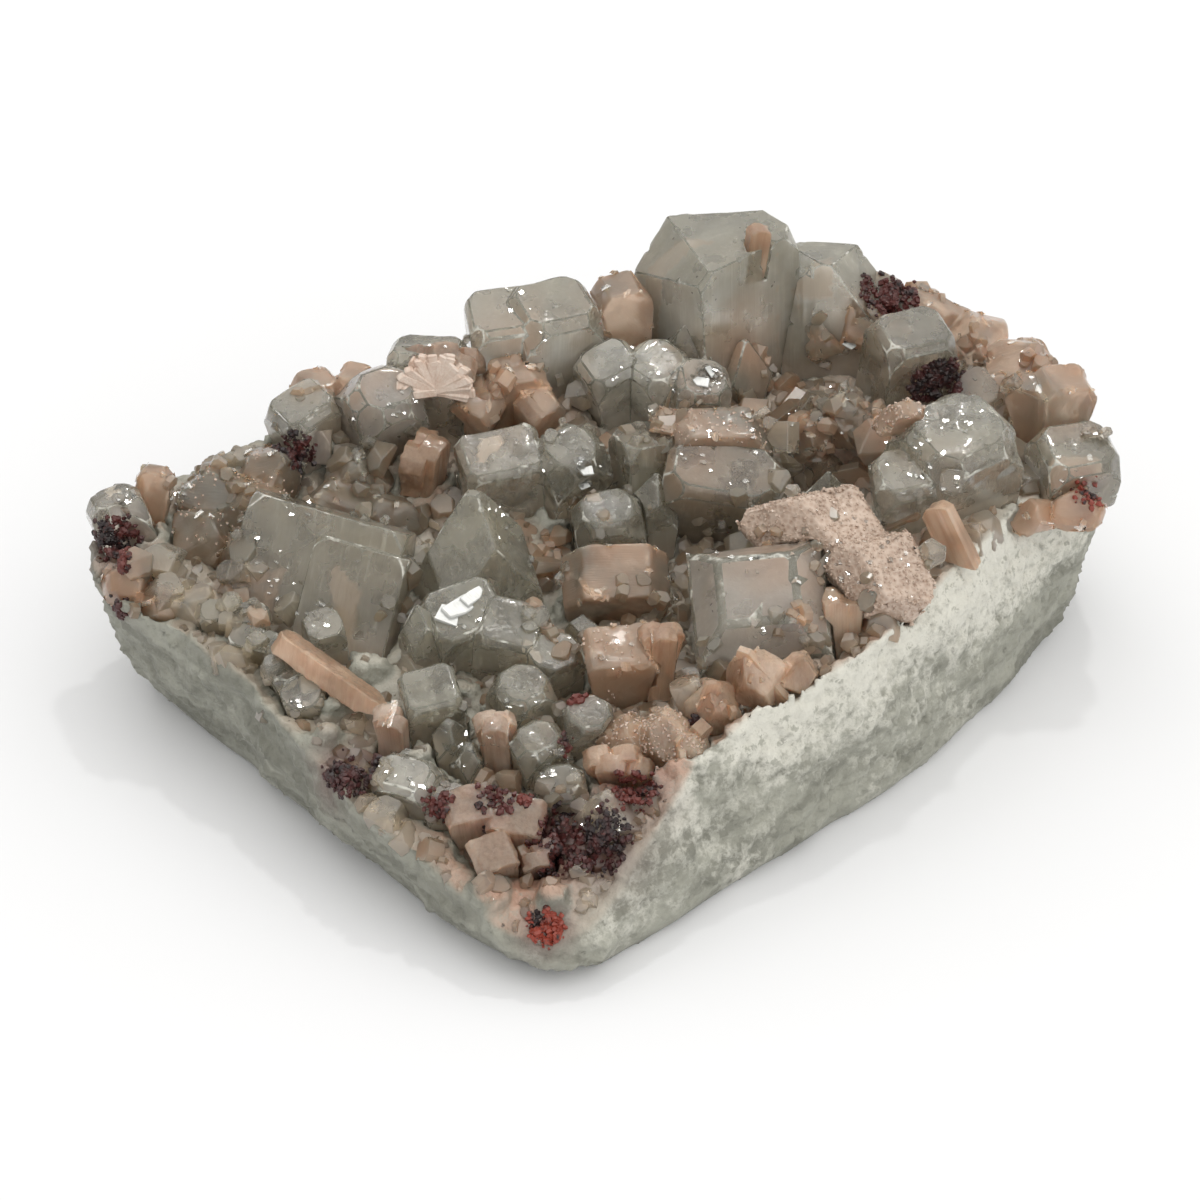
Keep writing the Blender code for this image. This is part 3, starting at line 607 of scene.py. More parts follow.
def nick_edges(bm, rng, share):
    """Small notches broken out of the longer edges."""
    for edge in list(bm.edges):
        if not edge.is_valid or edge.calc_length() < 3 * MM or rng.random() > share:
            continue
        if len(edge.link_faces) != 2:
            continue
        start, end = edge.verts
        run = end.co - start.co
        half = rng.uniform(0.3, 0.9) * MM / run.length
        middle = rng.uniform(0.15 + half, 0.85 - half)
        near = start.co + run * (middle - half)
        far = start.co + run * (middle + half)
        dents = []
        for face in edge.link_faces:
            inward = (face.calc_center_median() - near)
            inward -= run.normalized() * inward.dot(run.normalized())
            if inward.length < 1.2 * MM:
                break
            slip = rng.uniform(0.25, 0.75)
            dents.append((face, near.lerp(far, slip) + inward.normalized() * rng.uniform(0.25, 0.8) * MM))
        if len(dents) < 2:
            continue
        p, q = bm.verts.new(near), bm.verts.new(far)
        dent_verts = []
        for face, place in dents:
            loop = [v for v in face.verts]
            i = loop.index(start)
            forward = loop[(i + 1) % len(loop)] is end
            dent = bm.verts.new(place)
            chain = [p, dent, q] if forward else [q, dent, p]
            first = i if forward else loop.index(end)
            ring = loop[first + 1:] + loop[:first + 1]
            material = face.material_index
            bm.faces.remove(face)
            made = bm.faces.new(ring + chain)
            made.material_index = material
            dent_verts.append((dent, forward))
        a, b = dent_verts[0][0], dent_verts[1][0]
        if dent_verts[0][1]:
            bm.faces.new((p, b, a))
            bm.faces.new((q, a, b))
        else:
            bm.faces.new((p, a, b))
            bm.faces.new((q, b, a))
        bm.edges.remove(edge)


def terrace_faces(bm, rng, share):
    """Growth terraces: a thin raised plate, set off centre, on some of the faces."""
    for face in list(bm.faces):
        area = face.calc_area()
        if area < 9 * MM * MM or len(face.verts) > 9 or rng.random() > share:
            continue
        width = math.sqrt(area)
        inset = width * rng.uniform(0.07, 0.17)
        bmesh.ops.inset_individual(bm, faces=[face], thickness=inset,
                                   depth=rng.uniform(-0.12, 0.22) * MM)
        slide = (face.verts[0].co - face.calc_center_median()).normalized() * inset * 0.45
        for v in face.verts:
            v.co += slide


def shorten_edges(bm, longest):
    for turn in range(5):
        bmesh.ops.triangulate(bm, faces=bm.faces)
        long = [e for e in bm.edges if e.calc_length() > longest]
        if not long:
            break
        bmesh.ops.subdivide_edges(bm, edges=long, cuts=1)
    bmesh.ops.triangulate(bm, faces=bm.faces)


def crystal_piece(node, finish, edges, slot, rng, chips=0.3, terraces=0.5, ribs=0.0,
                  longest=LONGEST_EDGE, worn=EDGE_BEVEL, mosaic=0.05):
    """Dressed copy of one crystal node, which it replaces."""
    bm = bmesh.new()
    bm.from_mesh(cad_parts[node].data)
    bmesh.ops.remove_doubles(bm, verts=bm.verts, dist=0.005 * MM)
    bmesh.ops.dissolve_limit(bm, angle_limit=math.radians(1.0), verts=bm.verts, edges=bm.edges)
    solid = BVHTree.FromBMesh(bm)
    axis = crystal_axis(bm)
    chip_corners(bm, rng, chips, 1.3 * MM)
    nick_edges(bm, rng, chips * 1.6)
    terrace_faces(bm, rng, terraces)
    bm.normal_update()
    bmesh.ops.remove_doubles(bm, verts=bm.verts, dist=worn * 0.8)
    bmesh.ops.dissolve_degenerate(bm, edges=bm.edges, dist=0.02 * MM)
    sharp = [e for e in bm.edges if len(e.link_faces) == 2 and e.calc_face_angle(0) > 0.25]
    bmesh.ops.bevel(bm, geom=sharp, offset=worn, segments=1 if worn < 0.3 * MM else 3,
                    profile=0.5, affect="EDGES", clamp_overlap=False, material=1)
    shorten_edges(bm, longest)
    bm.normal_update()
    upright = axis.rotation_difference(Vector((0, 0, 1))).to_matrix()
    drift = Vector((rng.uniform(0, 50), rng.uniform(0, 50), rng.uniform(0, 50)))
    for v in bm.verts:
        near, normal, face, distance = solid.find_nearest(v.co)
        if distance > FARTHEST:
            v.co = near
        rise = WAVE * noise.noise(v.co / (4.5 * MM) + drift)
        rise += tilted(v.co + drift * MM, 4.6 * MM, mosaic)
        if ribs:
            own = upright @ v.co / MM
            rise += ribs * noise.noise(Vector((own.x * 1.5, own.y * 1.5, own.z * 0.07)) + drift)
        v.co += v.normal * rise
    mesh = bpy.data.meshes.new(node + "_dressed")
    bm.to_mesh(mesh)
    bm.free()
    mesh.materials.append(finish)
    mesh.materials.append(edges)
    points = mesh_points(mesh)
    add_layer(mesh, "grain", "FLOAT_VECTOR", "vector", points @ np.array(upright.transposed()) / MM)
    mesh.shade_smooth()
    mesh.set_sharp_from_angle(angle=math.radians(14))
    obj = bpy.data.objects.new(node + "_dressed", mesh)
    bpy.context.scene.collection.objects.link(obj)
    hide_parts(node)
    return belongs(obj, slot)


# The rock

def rock_piece(finish, solid_rock):
    """Broken granular rock: the frame's solid, remeshed finely and roughened."""
    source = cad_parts["rock"]
    work = bpy.data.objects.new("rock_work", source.data.copy())
    bpy.context.scene.collection.objects.link(work)
    remesh = work.modifiers.new("remesh", "REMESH")
    remesh.mode = "VOXEL"
    remesh.voxel_size = VOXEL
    bpy.context.view_layer.update()
    mesh = bpy.data.meshes.new_from_object(
        work.evaluated_get(bpy.context.evaluated_depsgraph_get()))
    bpy.data.objects.remove(work)

    count = len(mesh.vertices)
    points = mesh_points(mesh)
    edges = np.empty(len(mesh.edges) * 2, np.int32)
    mesh.edges.foreach_get("vertices", edges)
    edges = edges.reshape(-1, 2)
    degree = np.bincount(edges.ravel(), minlength=count)[:, None]
    base = points[:, 2] < 0.4 * MM
    for turn in range(2):
        near = np.zeros_like(points)
        np.add.at(near, edges[:, 0], points[edges[:, 1]])
        np.add.at(near, edges[:, 1], points[edges[:, 0]])
        eased = points * 0.4 + near / degree * 0.6
        eased[base] = points[base]
        points = eased
    mesh.vertices.foreach_set("co", points.astype(np.float32).ravel())
    normals = np.array([tuple(n.vector) for n in mesh.vertex_normals])

    level = np.array([solid_rock.find_nearest(Vector(p))[1].z for p in points])
    crust = np.clip((level - 0.45) / 0.25, 0, 1) * np.clip((points[:, 2] - 4 * MM) / (3 * MM), 0, 1)
    for turn in range(10):
        near = np.zeros(count)
        np.add.at(near, edges[:, 0], crust[edges[:, 1]])
        np.add.at(near, edges[:, 1], crust[edges[:, 0]])
        crust = crust * 0.4 + near / degree[:, 0] * 0.6
    reach = np.clip((points[:, 2] - STRIP * 0.4) / STRIP, 0.06, 1.0)
    reach[base] = 0.0
    shifts = np.zeros(count)
    for i in range(count):
        p = Vector(points[i])
        shifts[i] = rubble(p, crust[i]) * reach[i]
    points += normals * shifts[:, None]
    points[:, 2] = np.maximum(points[:, 2], 0.0)
    mesh.vertices.foreach_set("co", points.astype(np.float32).ravel())

    # Whiter toward the top and toward the right of the rock
    upper = np.clip((points[:, 2] - 10 * MM) / (14 * MM), 0, 1)
    upper *= np.clip(points[:, 0] / (24 * MM) + 0.5, 0, 1)
    add_layer(mesh, "crust", "FLOAT", "value", crust)
    add_layer(mesh, "upper", "FLOAT", "value", upper)
    mesh.materials.clear()
    mesh.materials.append(finish)
    mesh.shade_smooth()
    obj = bpy.data.objects.new("rock_broken", mesh)
    bpy.context.scene.collection.objects.link(obj)
    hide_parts("rock")
    return belongs(obj, "rock")


def tilted(p, size, tilt):
    """Height of a mosaic of flat cells, each leaning its own way."""
    centre = noise.voronoi(p / size)[1][0]
    lean = noise.cell_vector(centre * 7.3) - Vector((0.5, 0.5, 0.5))
    return lean.dot(p - centre * size) * tilt


def rubble(p, crust):
    """Height of the broken surface: tilted cells of three sizes, bolder on the crust."""
    height = 0.55 * MM * noise.noise(p / (9 * MM))
    for size, tilt in ((3.6 * MM, 0.30 + 0.35 * crust), (1.9 * MM, 0.45), (1.2 * MM, 0.50)):
        height += tilted(p, size, tilt)
    return height + 0.20 * MM * noise.noise(p / (0.9 * MM))


# Camera rays, so that patches of the photograph find their place on the surface

def camera_axes():
    e = math.radians(ELEVATION)
    forward = Vector((0, math.cos(e), -math.sin(e)))
    upward = Vector((0, math.sin(e), math.cos(e)))
    return AIM - forward * AWAY, forward, upward


def seen_at(tree, u, v):
    """Point, normal and face of the surface that shows at a pixel of the photograph."""
    eye, forward, upward = camera_axes()
    focal = PHOTO_SIDE * LENS / SENSOR
    right = Vector((1, 0, 0))
    ray = forward + right * ((u - PHOTO_SIDE / 2) / focal) + upward * ((PHOTO_SIDE / 2 - v) / focal)
    point, normal, face, distance = tree.ray_cast(eye, ray.normalized())
    return point, normal, face


# Zones of the crust, each a pixel of the photograph, a radius in millimetres and what grows there
ZONES = [
    (150, 490, 4, "peach"), (215, 490, 7, "brown"), (243, 595, 3, "peach"), (115, 580, 4, "peach"),
    (320, 380, 5, "peach"), (355, 390, 4, "peach"), (505, 385, 9, "peach"), (622, 290, 4, "peach"),
    (750, 350, 6, "peach"), (860, 330, 5, "peach"), (950, 315, 7, "peach"),
    (1020, 370, 7, "peach"), (1070, 405, 6, "peach"), (850, 420, 8, "peach"),
    (718, 448, 7, "peach"), (618, 590, 7, "brown"), (615, 665, 6, "orange"),
    (665, 655, 4, "orange"), (715, 698, 4, "orange"), (756, 656, 5, "orange"),
    (830, 560, 11, "peach"), (840, 610, 4, "orange"), (650, 740, 7, "orange"),
    (618, 772, 5, "orange"), (500, 830, 7, "peach"), (515, 868, 6, "peach"),
    (430, 450, 6, "orange"), (1078, 500, 5, "peach"), (930, 505, 5, "orange"),
    (680, 425, 4, "brown"), (700, 390, 5, "peach"), (560, 545, 6, "brown"),
    (400, 500, 6, "brown"), (640, 395, 7, "clear"), (200, 640, 7, "clear"),
    (290, 670, 6, "clear"), (400, 784, 6, "clear"), (460, 640, 9, "clear"),
    (540, 440, 9, "clear"), (930, 460, 9, "clear"), (460, 740, 6, "clear"), (607, 822, 4, "white"),
    (545, 740, 6, "clear"), (1078, 455, 6, "clear"), (130, 470, 5, "clear"),
    (780, 310, 7, "clear"), (330, 560, 10, "clear"), (720, 500, 7, "clear"),
]

# Drusy crystals and the number of sugar grains on each
DRUSE = {"heulandite_druse_plate": 2600, "heulandite_cap": 600, "heulandite_triangle": 260,
         "stilbite_peach_mass": 500, "heulandite_pink_cube": 160, "heulandite_left_mass": 260}

# Glints: pixel, radius in pixels, number of flakes
GLINTS = [
    (125, 494, 10, 8), (180, 495, 10, 6), (282, 670, 6, 4), (295, 703, 6, 4),
    (320, 615, 14, 6), (462, 608, 24, 10), (524, 705, 18, 10), (400, 775, 26, 14),
    (581, 462, 6, 8), (587, 484, 5, 5), (570, 470, 30, 8), (650, 375, 40, 22),
    (706, 378, 16, 26), (850, 342, 8, 7), (935, 455, 50, 30), (1078, 455, 30, 8),
    (762, 634, 8, 5), (735, 560, 30, 5), (405, 400, 20, 8), (437, 365, 26, 10),
    (500, 520, 20, 5), (620, 650, 20, 5), (560, 760, 26, 8), (600, 830, 24, 8),
    (300, 560, 60, 12), (860, 560, 50, 22), (540, 300, 40, 8), (720, 450, 40, 10),
    (470, 740, 30, 10), (370, 420, 30, 8), (1000, 380, 40, 10), (820, 400, 40, 8),
]

# Bright cleavage plates, whose whitish colour is painted highlight: pixel and size in millimetres of each
# pearly plate
HIGHLIGHT_PLATES = [(462, 606, 5.2), (447, 616, 3.4), (474, 596, 3.6), (700, 382, 2.6), (712, 372, 2.0),
          (584, 470, 2.2), (583, 484, 1.6), (850, 343, 1.6)]

# Patches of iron oxide grains: pixel, radius in millimetres, number of grains, how red
IRON = [
    (118, 538, 3.4, 130, 0.1), (122, 560, 1.8, 40, 0.3), (118, 608, 1.6, 30, 0.0),
    (262, 436, 1.8, 50, 0.0), (295, 452, 3.2, 70, 0.1), (347, 771, 3.6, 130, 0.0),
    (440, 806, 2.4, 40, 0.2), (525, 800, 1.0, 14, 0.4), (560, 845, 5.0, 260, 0.1),
    (600, 850, 4.0, 100, 0.0), (635, 797, 3.6, 90, 0.3), (545, 928, 2.6, 110, 1.0),
    (888, 298, 4.6, 210, 0.1), (935, 380, 4.2, 190, 0.0), (575, 698, 1.6, 10, 0.3),
    (697, 720, 0.8, 10, 0.0), (1090, 495, 2.6, 20, 0.8), (565, 745, 1.8, 10, 0.2),
    (610, 830, 4.0, 50, 0.0), (495, 800, 3.0, 30, 0.1),
]

# Pearly fan: pixel of its heart, number of blades and their length
FAN_HEART = (437, 392)
FAN_BLADES = 46
FAN_RADIUS = 6.2 * MM

# Small crystals: least and largest size, spacing in millimetres, number of tries
SMALL_SIZES = [(3.8, 6.2, 3.4, 2200), (2.3, 3.7, 2.1, 9000), (1.2, 2.1, 1.25, 20000)]

# Rounded masses that are overgrown like the rock itself
OVERGROWN = ("heulandite_back_rim", "heulandite_back_knob", "heulandite_left_mass",
             "heulandite_hollow_mass", "heulandite_right_masses", "heulandite_red_edge",
             "heulandite_left_low", "stilbite_orange_caps", "stilbite_peach_mass")

# Crystals with a finish of their own, by the rest of their names
OWN_FINISH = {
    "cloudy": ("giant", "roof", "back_left", "grey_left", "far_back"),
    "lilac": ("big_cube", "lilac"),
    "smoky": ("left_big", "green"),
    "bright": ("right_clear", "left_small", "left_tip", "hollow_group"),
    "white": ("white_cluster", "white_front"),
    "brown": ("hollow_mass", "left_mass"),
    "druse": ("druse_plate",),
    "pink": ("fan", "pink_blade", "striated", "boxy_group", "front_blades"),
}
USUAL_FINISH = {"apophyllite": "clear", "heulandite": "peach", "stilbite": "orange"}

SMALL_SLOTS = {"clear": "apophyllite", "peach": "heulandite", "brown": "heulandite",
               "orange": "stilbite", "white": "apophyllite"}


def placed(corners, at, along, turn, scale):
    """A form's corners, turned so that its axis points along a direction."""
    spin = Matrix.Rotation(turn, 3, "Z")
    aim = Vector((0, 0, 1)).rotation_difference(along).to_matrix()
    turned = np.array(aim @ spin)
    return (corners * scale) @ turned.T + np.array(at)


class Heap:
    """Many small forms joined in one mesh."""

    def __init__(self):
        self.corners, self.faces, self.grain, self.count = [], [], [], 0

    def add(self, form, at, along, turn, scale, stretch=(1, 1, 1)):
        corners, faces = form
        corners = corners * np.array(stretch)
        self.corners.append(placed(corners, at, along, turn, scale))
        self.faces += [[self.count + i for i in f] for f in faces]
        self.grain.append(corners * scale / MM)
        self.count += len(corners)

    def piece(self, name, finish):
        return mesh_object(name, np.concatenate(self.corners).tolist(), self.faces, [finish],
                           np.concatenate(self.grain))


class Spread:
    """Points kept at least a distance apart, sorted into cells of space."""

    def __init__(self, cell):
        self.cell, self.held = cell, {}

    def cell_of(self, point):
        return tuple(math.floor(c / self.cell) for c in point)

    def free(self, point, apart):
        i, j, k = self.cell_of(point)
        for a in (i - 1, i, i + 1):
            for b in (j - 1, j, j + 1):
                for c in (k - 1, k, k + 1):
                    for other in self.held.get((a, b, c), ()):
                        if (point - other).length < apart:
                            return False
        return True

    def keep(self, point):
        self.held.setdefault(self.cell_of(point), []).append(point)


def on_crust(point, size, solid_rock):
    """Whether the rock round a point, as far as a crystal's size, is crust and not wall."""
    for way in ((0, 0, 0), (1, 0, 0), (-1, 0, 0), (0, -1, 0), (0, 1, 0)):
        near, normal, face, distance = solid_rock.find_nearest(point + Vector(way) * size * 0.65)
        least = 0.35 if size < 2.2 * MM and normal.x < 0 else 0.55
        if normal.z < least or near.z < 6 * MM:
            return False
    return True


def grow_small(tree, owner, rock_name, solid_rock, zones, finishes):
    """Crust of small crystals over the rock's top and a few on the larger crystals."""
    rng = random.Random(77)
    forms = {
        "clear": [block_form(rng) for k in range(8)] + [spire_form(rng) for k in range(4)]
        + [crumb_form(rng) for k in range(4)],
        "peach": [tablet_form(rng) for k in range(5)] + [block_form(rng) for k in range(3)]
        + [crumb_form(rng) for k in range(3)],
        "brown": [tablet_form(rng) for k in range(4)] + [block_form(rng) for k in range(4)]
        + [crumb_form(rng) for k in range(3)],
        "orange": [blade_form(rng) for k in range(8)] + [tablet_form(rng) for k in range(2)],
        "white": [crumb_form(rng) for k in range(4)] + [block_form(rng) for k in range(2)],
    }
    heaps = {kind: Heap() for kind in forms}
    low, high = CAD_BOX
    taken = Spread(3.4 * MM)
    for size_low, size_high, spacing, tries in SMALL_SIZES:
        for turn in range(tries):
            x, y = rng.uniform(low.x, high.x), rng.uniform(low.y, high.y)
            slant = Vector((rng.uniform(-0.3, 0.3), rng.uniform(-0.1, 0.8), -1)).normalized()
            start = Vector((x, y, 0.04)) - slant * 0.04
            point, normal, face, distance = tree.ray_cast(start, slant)
            size = rng.uniform(size_low, size_high) * MM
            if point is None or not taken.free(point, spacing * MM):
                continue
            if not on_crust(point, size, solid_rock):
                continue
            if owner[face].startswith("stilbite") and owner[face][:-8] not in OVERGROWN:
                continue
            on_rock = owner[face] == rock_name or owner[face][:-8] in OVERGROWN
            if not on_rock and (size > 3.6 * MM or rng.random() < 0.3):
                continue
            if not on_rock and solid_rock.find_nearest(point)[3] > rng.uniform(0.5, 9.0) * MM:
                continue
            taken.keep(point)
            kind = kind_at(point, zones, rng)
            along = (normal + Vector((rng.gauss(0, 0.45), rng.gauss(0, 0.45), 0.7))).normalized()
            stretch = (rng.uniform(0.7, 1.3), rng.uniform(0.7, 1.3), rng.uniform(0.8, 1.3))
            heaps[kind].add(rng.choice(forms[kind]), point + along * size * rng.uniform(0.10, 0.42),
                            along, rng.uniform(0, math.pi), size, stretch)
    pieces = []
    for kind, heap in heaps.items():
        if heap.count:
            piece = heap.piece("small_" + kind + "_crystals", finishes[kind])
            pieces.append(belongs(piece, SMALL_SLOTS[kind]))
    return pieces


def kind_at(point, zones, rng):
    """Which mineral grows at a point: that of the zone it lies in, else a mixture."""
    best, nearest = None, 1.0
    for centre, radius, kind in zones:
        share = (point - centre).length / (radius * MM)
        if share < nearest:
            best, nearest = kind, share
    if best and rng.random() < 0.80:
        return best
    return rng.choice(["clear", "clear", "clear", "clear", "brown", "brown", "peach"])


def grow_iron(tree, finish):
    rng = random.Random(5)
    forms = [crumb_form(rng, 0) for k in range(8)]
    heap = Heap()
    red = []
    for u, v, radius, number, redness in IRON:
        centre, normal, face = seen_at(tree, u, v)
        if centre is None:
            continue
        for k in range(number * 3):
            reach = radius * MM * math.sqrt(rng.random())
            offset = Vector((rng.gauss(0, 1), rng.gauss(0, 1), rng.gauss(0, 1))).normalized() * reach
            point, facing, face, distance = tree.find_nearest(centre + offset)
            size = rng.uniform(0.22, 0.85) * MM
            before = heap.count
            heap.add(rng.choice(forms), point + facing * size * 0.1,
                     unit(rng.uniform(0, 360), rng.uniform(-60, 90)), rng.uniform(0, 6), size)
            red += [redness] * (heap.count - before)
    piece = heap.piece("iron_oxide_grains", finish)
    add_layer(piece.data, "red", "FLOAT", "value", red)
    return belongs(piece, "hematite")


def surface_points(obj, count, rng, upward):
    """Random points on the faces of a mesh that look upward enough."""
    rows, areas = [], []
    for p in obj.data.polygons:
        if p.normal.z > upward:
            rows.append(p)
            areas.append(p.area)
    chosen = rng.choices(rows, weights=areas, k=count)
    for p in chosen:
        a, b, c = [obj.data.vertices[i].co for i in p.vertices[:3]]
        r, s = rng.random(), rng.random()
        if r + s > 1:
            r, s = 1 - r, 1 - s
        yield a + (b - a) * r + (c - a) * s, p.normal.copy()


def grow_druse(pieces, finish):
    """Sugary druse over the tops of some peach crystals."""
    rng = random.Random(31)
    forms = [block_form(rng, 0) for k in range(6)] + [crumb_form(rng, 0) for k in range(3)]
    heap = Heap()
    for name, number in DRUSE.items():
        for point, normal in surface_points(pieces[name], number, rng, -0.2):
            size = rng.uniform(0.18, 0.42) * MM
            loose = Vector((rng.gauss(0, 0.4), rng.gauss(0, 0.4), rng.gauss(0, 0.4)))
            along = (normal + loose).normalized()
            heap.add(rng.choice(forms), point + along * size * 0.20, along, rng.uniform(0, 3), size)
    return belongs(heap.piece("sugary_druse", finish), "heulandite")


def grow_flakes(tree, finish):
    """Cleavage flakes that catch the small lamp, where the photograph glints."""
    rng = random.Random(64)
    eye, forward, upward = camera_axes()
    heap = Heap()
    forms = [flake_form(rng) for k in range(6)]
    for u, v, radius, number in GLINTS:
        for k in range(number * 2):
            a, r = rng.uniform(0, 2 * math.pi), radius * math.sqrt(rng.random())
            point, normal, face = seen_at(tree, u + r * math.cos(a), v + r * math.sin(a))
            if point is None:
                continue
            halfway = (eye - point).normalized() + (Vector(LAMP) - point).normalized()
            loose = Vector((rng.gauss(0, 0.03), rng.gauss(0, 0.03), rng.gauss(0, 0.03)))
            along = (halfway.normalized() + loose).normalized()
            size = rng.uniform(0.2, 1.0) * MM
            heap.add(rng.choice(forms), point + normal * size * 0.12, along,
                     rng.uniform(0, 3), size)
    return belongs(heap.piece("glinting_flakes", finish), "apophyllite")


def grow_plates(tree, finish):
    """Pearly cleavage plates that mirror the lamp, their whitish colour a painted highlight."""
    rng = random.Random(8)
    eye, forward, upward = camera_axes()
    heap = Heap()
    for u, v, size in HIGHLIGHT_PLATES:
        point, normal, face = seen_at(tree, u, v)
        if point is None:
            continue
        halfway = (eye - point).normalized() + (Vector(LAMP) - point).normalized()
        heap.add(flake_form(rng), point + normal * 0.3 * MM, halfway.normalized(),
                 rng.uniform(0, 3), size * MM)
    return belongs(heap.piece("pearly_plates", finish), "apophyllite")


def grow_fan(tree, finish):
    """Pearly fan of thin blades that radiate over a rounded block."""
    rng = random.Random(9)
    u, v = FAN_HEART
    heart, normal, face = seen_at(tree, u, v)
    eye, forward, upward = camera_axes()
    facing = (normal + 2.0 * (eye - heart).normalized()).normalized()
    side = Vector((1, 0, 0)) - facing * facing.x
    side.normalize()
    rise = facing.cross(side)
    if rise.z < 0:
        rise.negate()
    heap = Heap()
    wedges = [hull(prism(0.20, 0.24, 1.0) + [(unit(0, 60), -0.05), (unit(180, 75), -0.02)])
              for k in range(2)]
    for k in range(FAN_BLADES):
        angle = math.radians(-105 + 210 * (k + rng.random()) / FAN_BLADES)
        way = side * math.sin(angle) + rise * math.cos(angle) + facing * rng.uniform(0.10, 0.35)
        way.normalize()
        long = rng.uniform(0.75, 1.0) * FAN_RADIUS
        start = heart - forward * 2.6 * MM
        heap.add(rng.choice(wedges), start + way * long, way, rng.uniform(0, 3), long)
    return belongs(heap.piece("pearly_fan", finish), "stilbite")


def grow_veils(pieces, finish):
    """Healed cracks and growth layers inside the clear crystals."""
    rng = random.Random(12)
    corners, faces, grain = [], [], []
    side = 8
    for name, obj in pieces.items():
        if not name.startswith("apophyllite"):
            continue
        solid = obj.data
        tree = BVHTree.FromPolygons([v.co for v in solid.vertices],
                                    [tuple(p.vertices) for p in solid.polygons])
        broad = [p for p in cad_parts[name].data.polygons if p.area > 6 * MM * MM]
        low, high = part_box(name)
        size = (high - low).length
        for k in range(int(size / (6.0 * MM))):
            layer = rng.choice(broad)
            if rng.random() < 0.55:
                facing = layer.normal.copy()
                centre = layer.center - facing * rng.uniform(0.8, 4.0) * MM
                span, bend = rng.uniform(0.2, 0.5) * size, 0.02
            else:
                facing = unit(rng.uniform(0, 360), rng.uniform(-20, 70))
                centre = Vector([rng.uniform(a, b) for a, b in zip(low, high)])
                span, bend = rng.uniform(0.15, 0.35) * size, 0.14
            aim = Vector((0, 0, 1)).rotation_difference(facing).to_matrix()
            grid = {}
            for i in range(side):
                for j in range(side):
                    flat = Vector((i / (side - 1) - 0.5, j / (side - 1) - 0.5, 0)) * span
                    flat.z = bend * span * noise.noise(flat / (4 * MM) + centre * 300)
                    point = centre + aim @ flat
                    near, normal, face, distance = tree.find_nearest(point)
                    if near and (point - near).dot(normal) < -0.4 * MM:
                        grid[i, j] = len(corners)
                        corners.append(point)
                        grain.append(flat / MM + Vector((0, 0, 5 * k)))
            for i in range(side - 1):
                for j in range(side - 1):
                    square = [(i, j), (i + 1, j), (i + 1, j + 1), (i, j + 1)]
                    if all(s in grid for s in square):
                        faces.append([grid[s] for s in square])
    obj = mesh_object("healed_cracks", corners, faces, [finish],
                      np.array([tuple(p) for p in grain]))
    obj.data.shade_smooth()
    return belongs(obj, "apophyllite")


# Stage

def sky():
    """Soft light from above that darkens toward the horizon."""
    world = bpy.data.worlds.new("soft_sky")
    world.use_nodes = True
    g = Graph("soft_sky", world.node_tree)
    way = g.node("ShaderNodeSeparateXYZ", {}, {0: g.place_generated})
    tone = g.node("ShaderNodeValToRGB", {"stops": SKY}, {0: way[2]})["Color"]
    side = 1.0 + way[0] * 0.30 - way[1] * 0.06
    light = g.node("ShaderNodeBackground", {}, {"Color": tone, "Strength": side})[0]
    g.tree.links.new(light.socket, g.out.inputs["Surface"])
    return world


def stage():
    bpy.ops.mesh.primitive_plane_add(size=6.0, location=(0, 0, 0))
    floor = bpy.context.object
    floor.name = "pale_floor"
    floor.data.materials.append(floor_finish())
    floor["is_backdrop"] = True

    bpy.context.scene.world = sky()

    for name, at, size, watts in (("window", (-0.55, 0.75, 1.05), 1.1, 2.6),
                                  ("front_fill", (0.6, -1.0, 0.75), 1.5, 3.8),
                                  ("small_lamp", LAMP, 0.06, 1.3)):
        lamp = bpy.data.lights.new(name, "AREA")
        lamp.size = size
        lamp.energy = watts
        lamp.color = WARM
        obj = bpy.data.objects.new(name, lamp)
        obj.location = at
        obj.rotation_euler = (AIM - Vector(at)).to_track_quat("-Z", "Y").to_euler()
        bpy.context.scene.collection.objects.link(obj)

    camera = bpy.data.cameras.new("camera")
    camera.lens = LENS
    camera.sensor_width = SENSOR
    eye, forward, upward = camera_axes()
    obj = bpy.data.objects.new("camera", camera)
    obj.location = eye
    obj.rotation_euler = (math.radians(90 - ELEVATION), 0, 0)
    bpy.context.scene.collection.objects.link(obj)
    bpy.context.scene.camera = obj
    scene = bpy.context.scene
    scene.view_settings.view_transform = "Standard"
    scene.cycles.max_bounces = 5
    scene.cycles.transmission_bounces = 5
    scene.cycles.transparent_max_bounces = 4
    scene.cycles.diffuse_bounces = 2
    scene.cycles.glossy_bounces = 2


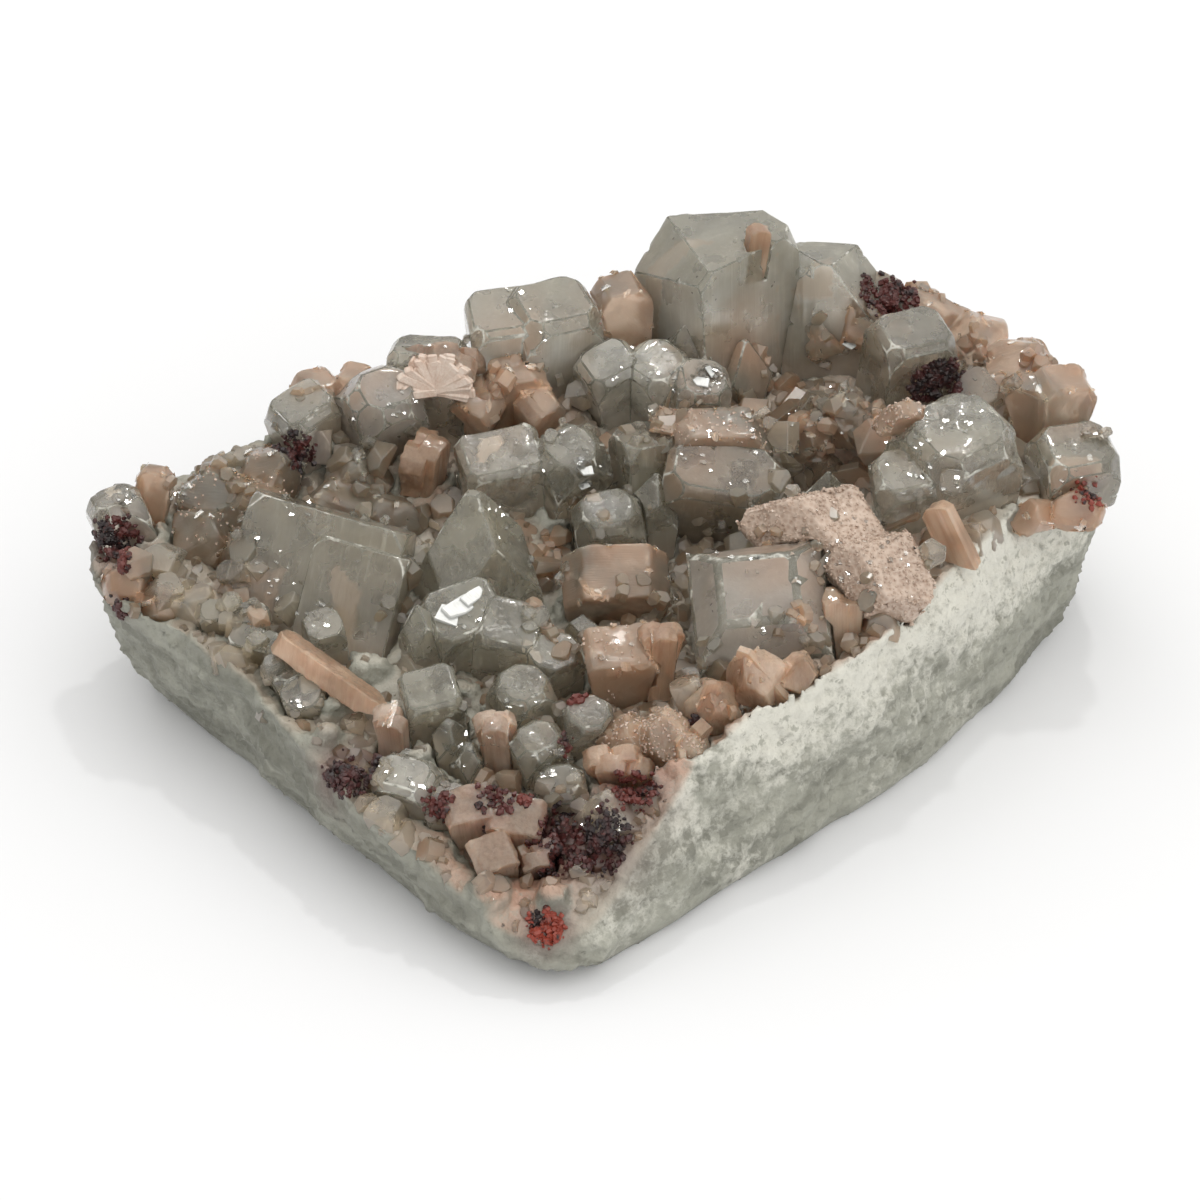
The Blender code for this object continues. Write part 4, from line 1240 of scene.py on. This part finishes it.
def crystal_finishes():
    return {
        "clear": apophyllite_finish("apophyllite_clear", (0.45, 0.43, 0.345), (0.33, 0.31, 0.24), 0.35),
        "cloudy": apophyllite_finish("apophyllite_cloudy", (0.36, 0.345, 0.28),
                                     (0.28, 0.262, 0.205), 0.85),
        "smoky": apophyllite_finish("apophyllite_smoky", (0.34, 0.31, 0.24), (0.245, 0.215, 0.16), 0.6),
        "lilac": apophyllite_finish("apophyllite_lilac", (0.42, 0.38, 0.335),
                                    (0.33, 0.29, 0.245), 0.85),
        "bright": apophyllite_finish("apophyllite_bright", (0.58, 0.565, 0.48),
                                     (0.44, 0.425, 0.35), 0.20),
        "white": apophyllite_finish("apophyllite_white", (0.76, 0.745, 0.66), (0.60, 0.58, 0.50), 0.45),
        "ground": apophyllite_finish("apophyllite_ground", (0.44, 0.405, 0.32),
                                     (0.37, 0.32, 0.24), 0.40),
        "peach": pearly_finish("heulandite_peach", (0.64, 0.46, 0.34), (0.53, 0.36, 0.25),
                               (0.50, 0.29, 0.17)),
        "brown": pearly_finish("heulandite_brown", (0.42, 0.33, 0.235), (0.31, 0.235, 0.165),
                               (0.34, 0.19, 0.11)),
        "orange": silky_finish("stilbite_orange", (0.66, 0.45, 0.31), (0.55, 0.33, 0.205),
                               (0.72, 0.56, 0.43)),
        "pink": silky_finish("stilbite_pink", (0.60, 0.44, 0.33), (0.46, 0.30, 0.21),
                             (0.70, 0.58, 0.48)),
        "druse": druse_finish("druse_peach", (0.46, 0.335, 0.26), (0.34, 0.235, 0.175)),
    }


def dress_crystals(finishes):
    """All the crystals of the frame, each in the finish of its kind."""
    own = {rest: kind for kind, rests in OWN_FINISH.items() for rest in rests}
    # Pale edges of the apophyllites: frosted wear and painted highlight
    edge_wear_and_highlight = edge_finish("worn_glassy_edge", (0.40, 0.39, 0.32))
    rng = random.Random(3)
    pieces = {}
    for node in sorted(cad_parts):
        if node == "rock":
            continue
        mineral, rest = node.split("_", 1)
        kind = own.get(rest, USUAL_FINISH[mineral])
        finish = finishes[kind]
        if mineral == "apophyllite":
            jagged = kind in ("bright", "white")
            pieces[node] = crystal_piece(
                node, finish, edge_wear_and_highlight, mineral, rng, chips=0.8 if jagged else 0.35,
                worn=0.7 * MM if rest == "big_cube" else EDGE_BEVEL,
                mosaic=0.15 if jagged else 0.05)
        elif mineral == "heulandite":
            pieces[node] = crystal_piece(node, finish, finish, mineral, rng, terraces=0.4,
                                         worn=0.5 * MM, mosaic=0.16, chips=0.6)
        else:
            pieces[node] = crystal_piece(node, finish, finish, mineral, rng, chips=0.15,
                                         terraces=0.0, ribs=0.22 * MM, longest=0.9 * MM)
    return pieces


def main():
    stage()
    finishes = crystal_finishes()
    pieces = dress_crystals(finishes)
    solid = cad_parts["rock"].data
    solid_rock = BVHTree.FromPolygons([v.co for v in solid.vertices],
                                      [tuple(p.vertices) for p in solid.polygons])
    rock = rock_piece(rock_finish(), solid_rock)
    tree, owner = rock_tree([rock] + list(pieces.values()))
    zones = []
    for u, v, radius, kind in ZONES:
        point, normal, face = seen_at(tree, u, v)
        if point is not None:
            zones.append((point, radius, kind))
    rust = []
    for u, v, radius, number, redness in IRON:
        point, normal, face = seen_at(tree, u, v)
        if point is not None:
            rust.append((point, radius))
    small = grow_small(tree, owner, rock.name, solid_rock, zones,
                       {**finishes, "clear": finishes["ground"]})
    blush = [(point, radius) for point, radius, kind in zones if kind in ("peach", "orange")]
    for piece in [rock] + list(pieces.values()) + small:
        stain(piece, blush, rust, solid_rock)
    covered, owner = rock_tree([rock] + list(pieces.values()) + small)
    grow_iron(covered, iron_finish())
    grow_druse(pieces, finishes["druse"])
    grow_flakes(covered, flake_finish())
    # Cleavage plates in pale pearl: painted highlight, on plates that also mirror the lamp
    grow_plates(covered, pearl_finish("pearly_white", (0.66, 0.67, 0.66), (0.50, 0.51, 0.50)))
    grow_fan(tree, pearl_finish("fan_pearl", (0.76, 0.65, 0.57), (0.58, 0.41, 0.32)))
    grow_veils(pieces, veil_finish())


main()

low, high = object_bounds()
{"cad": [list(CAD_BOX[0]), list(CAD_BOX[1])], "visual": [list(low), list(high)]}
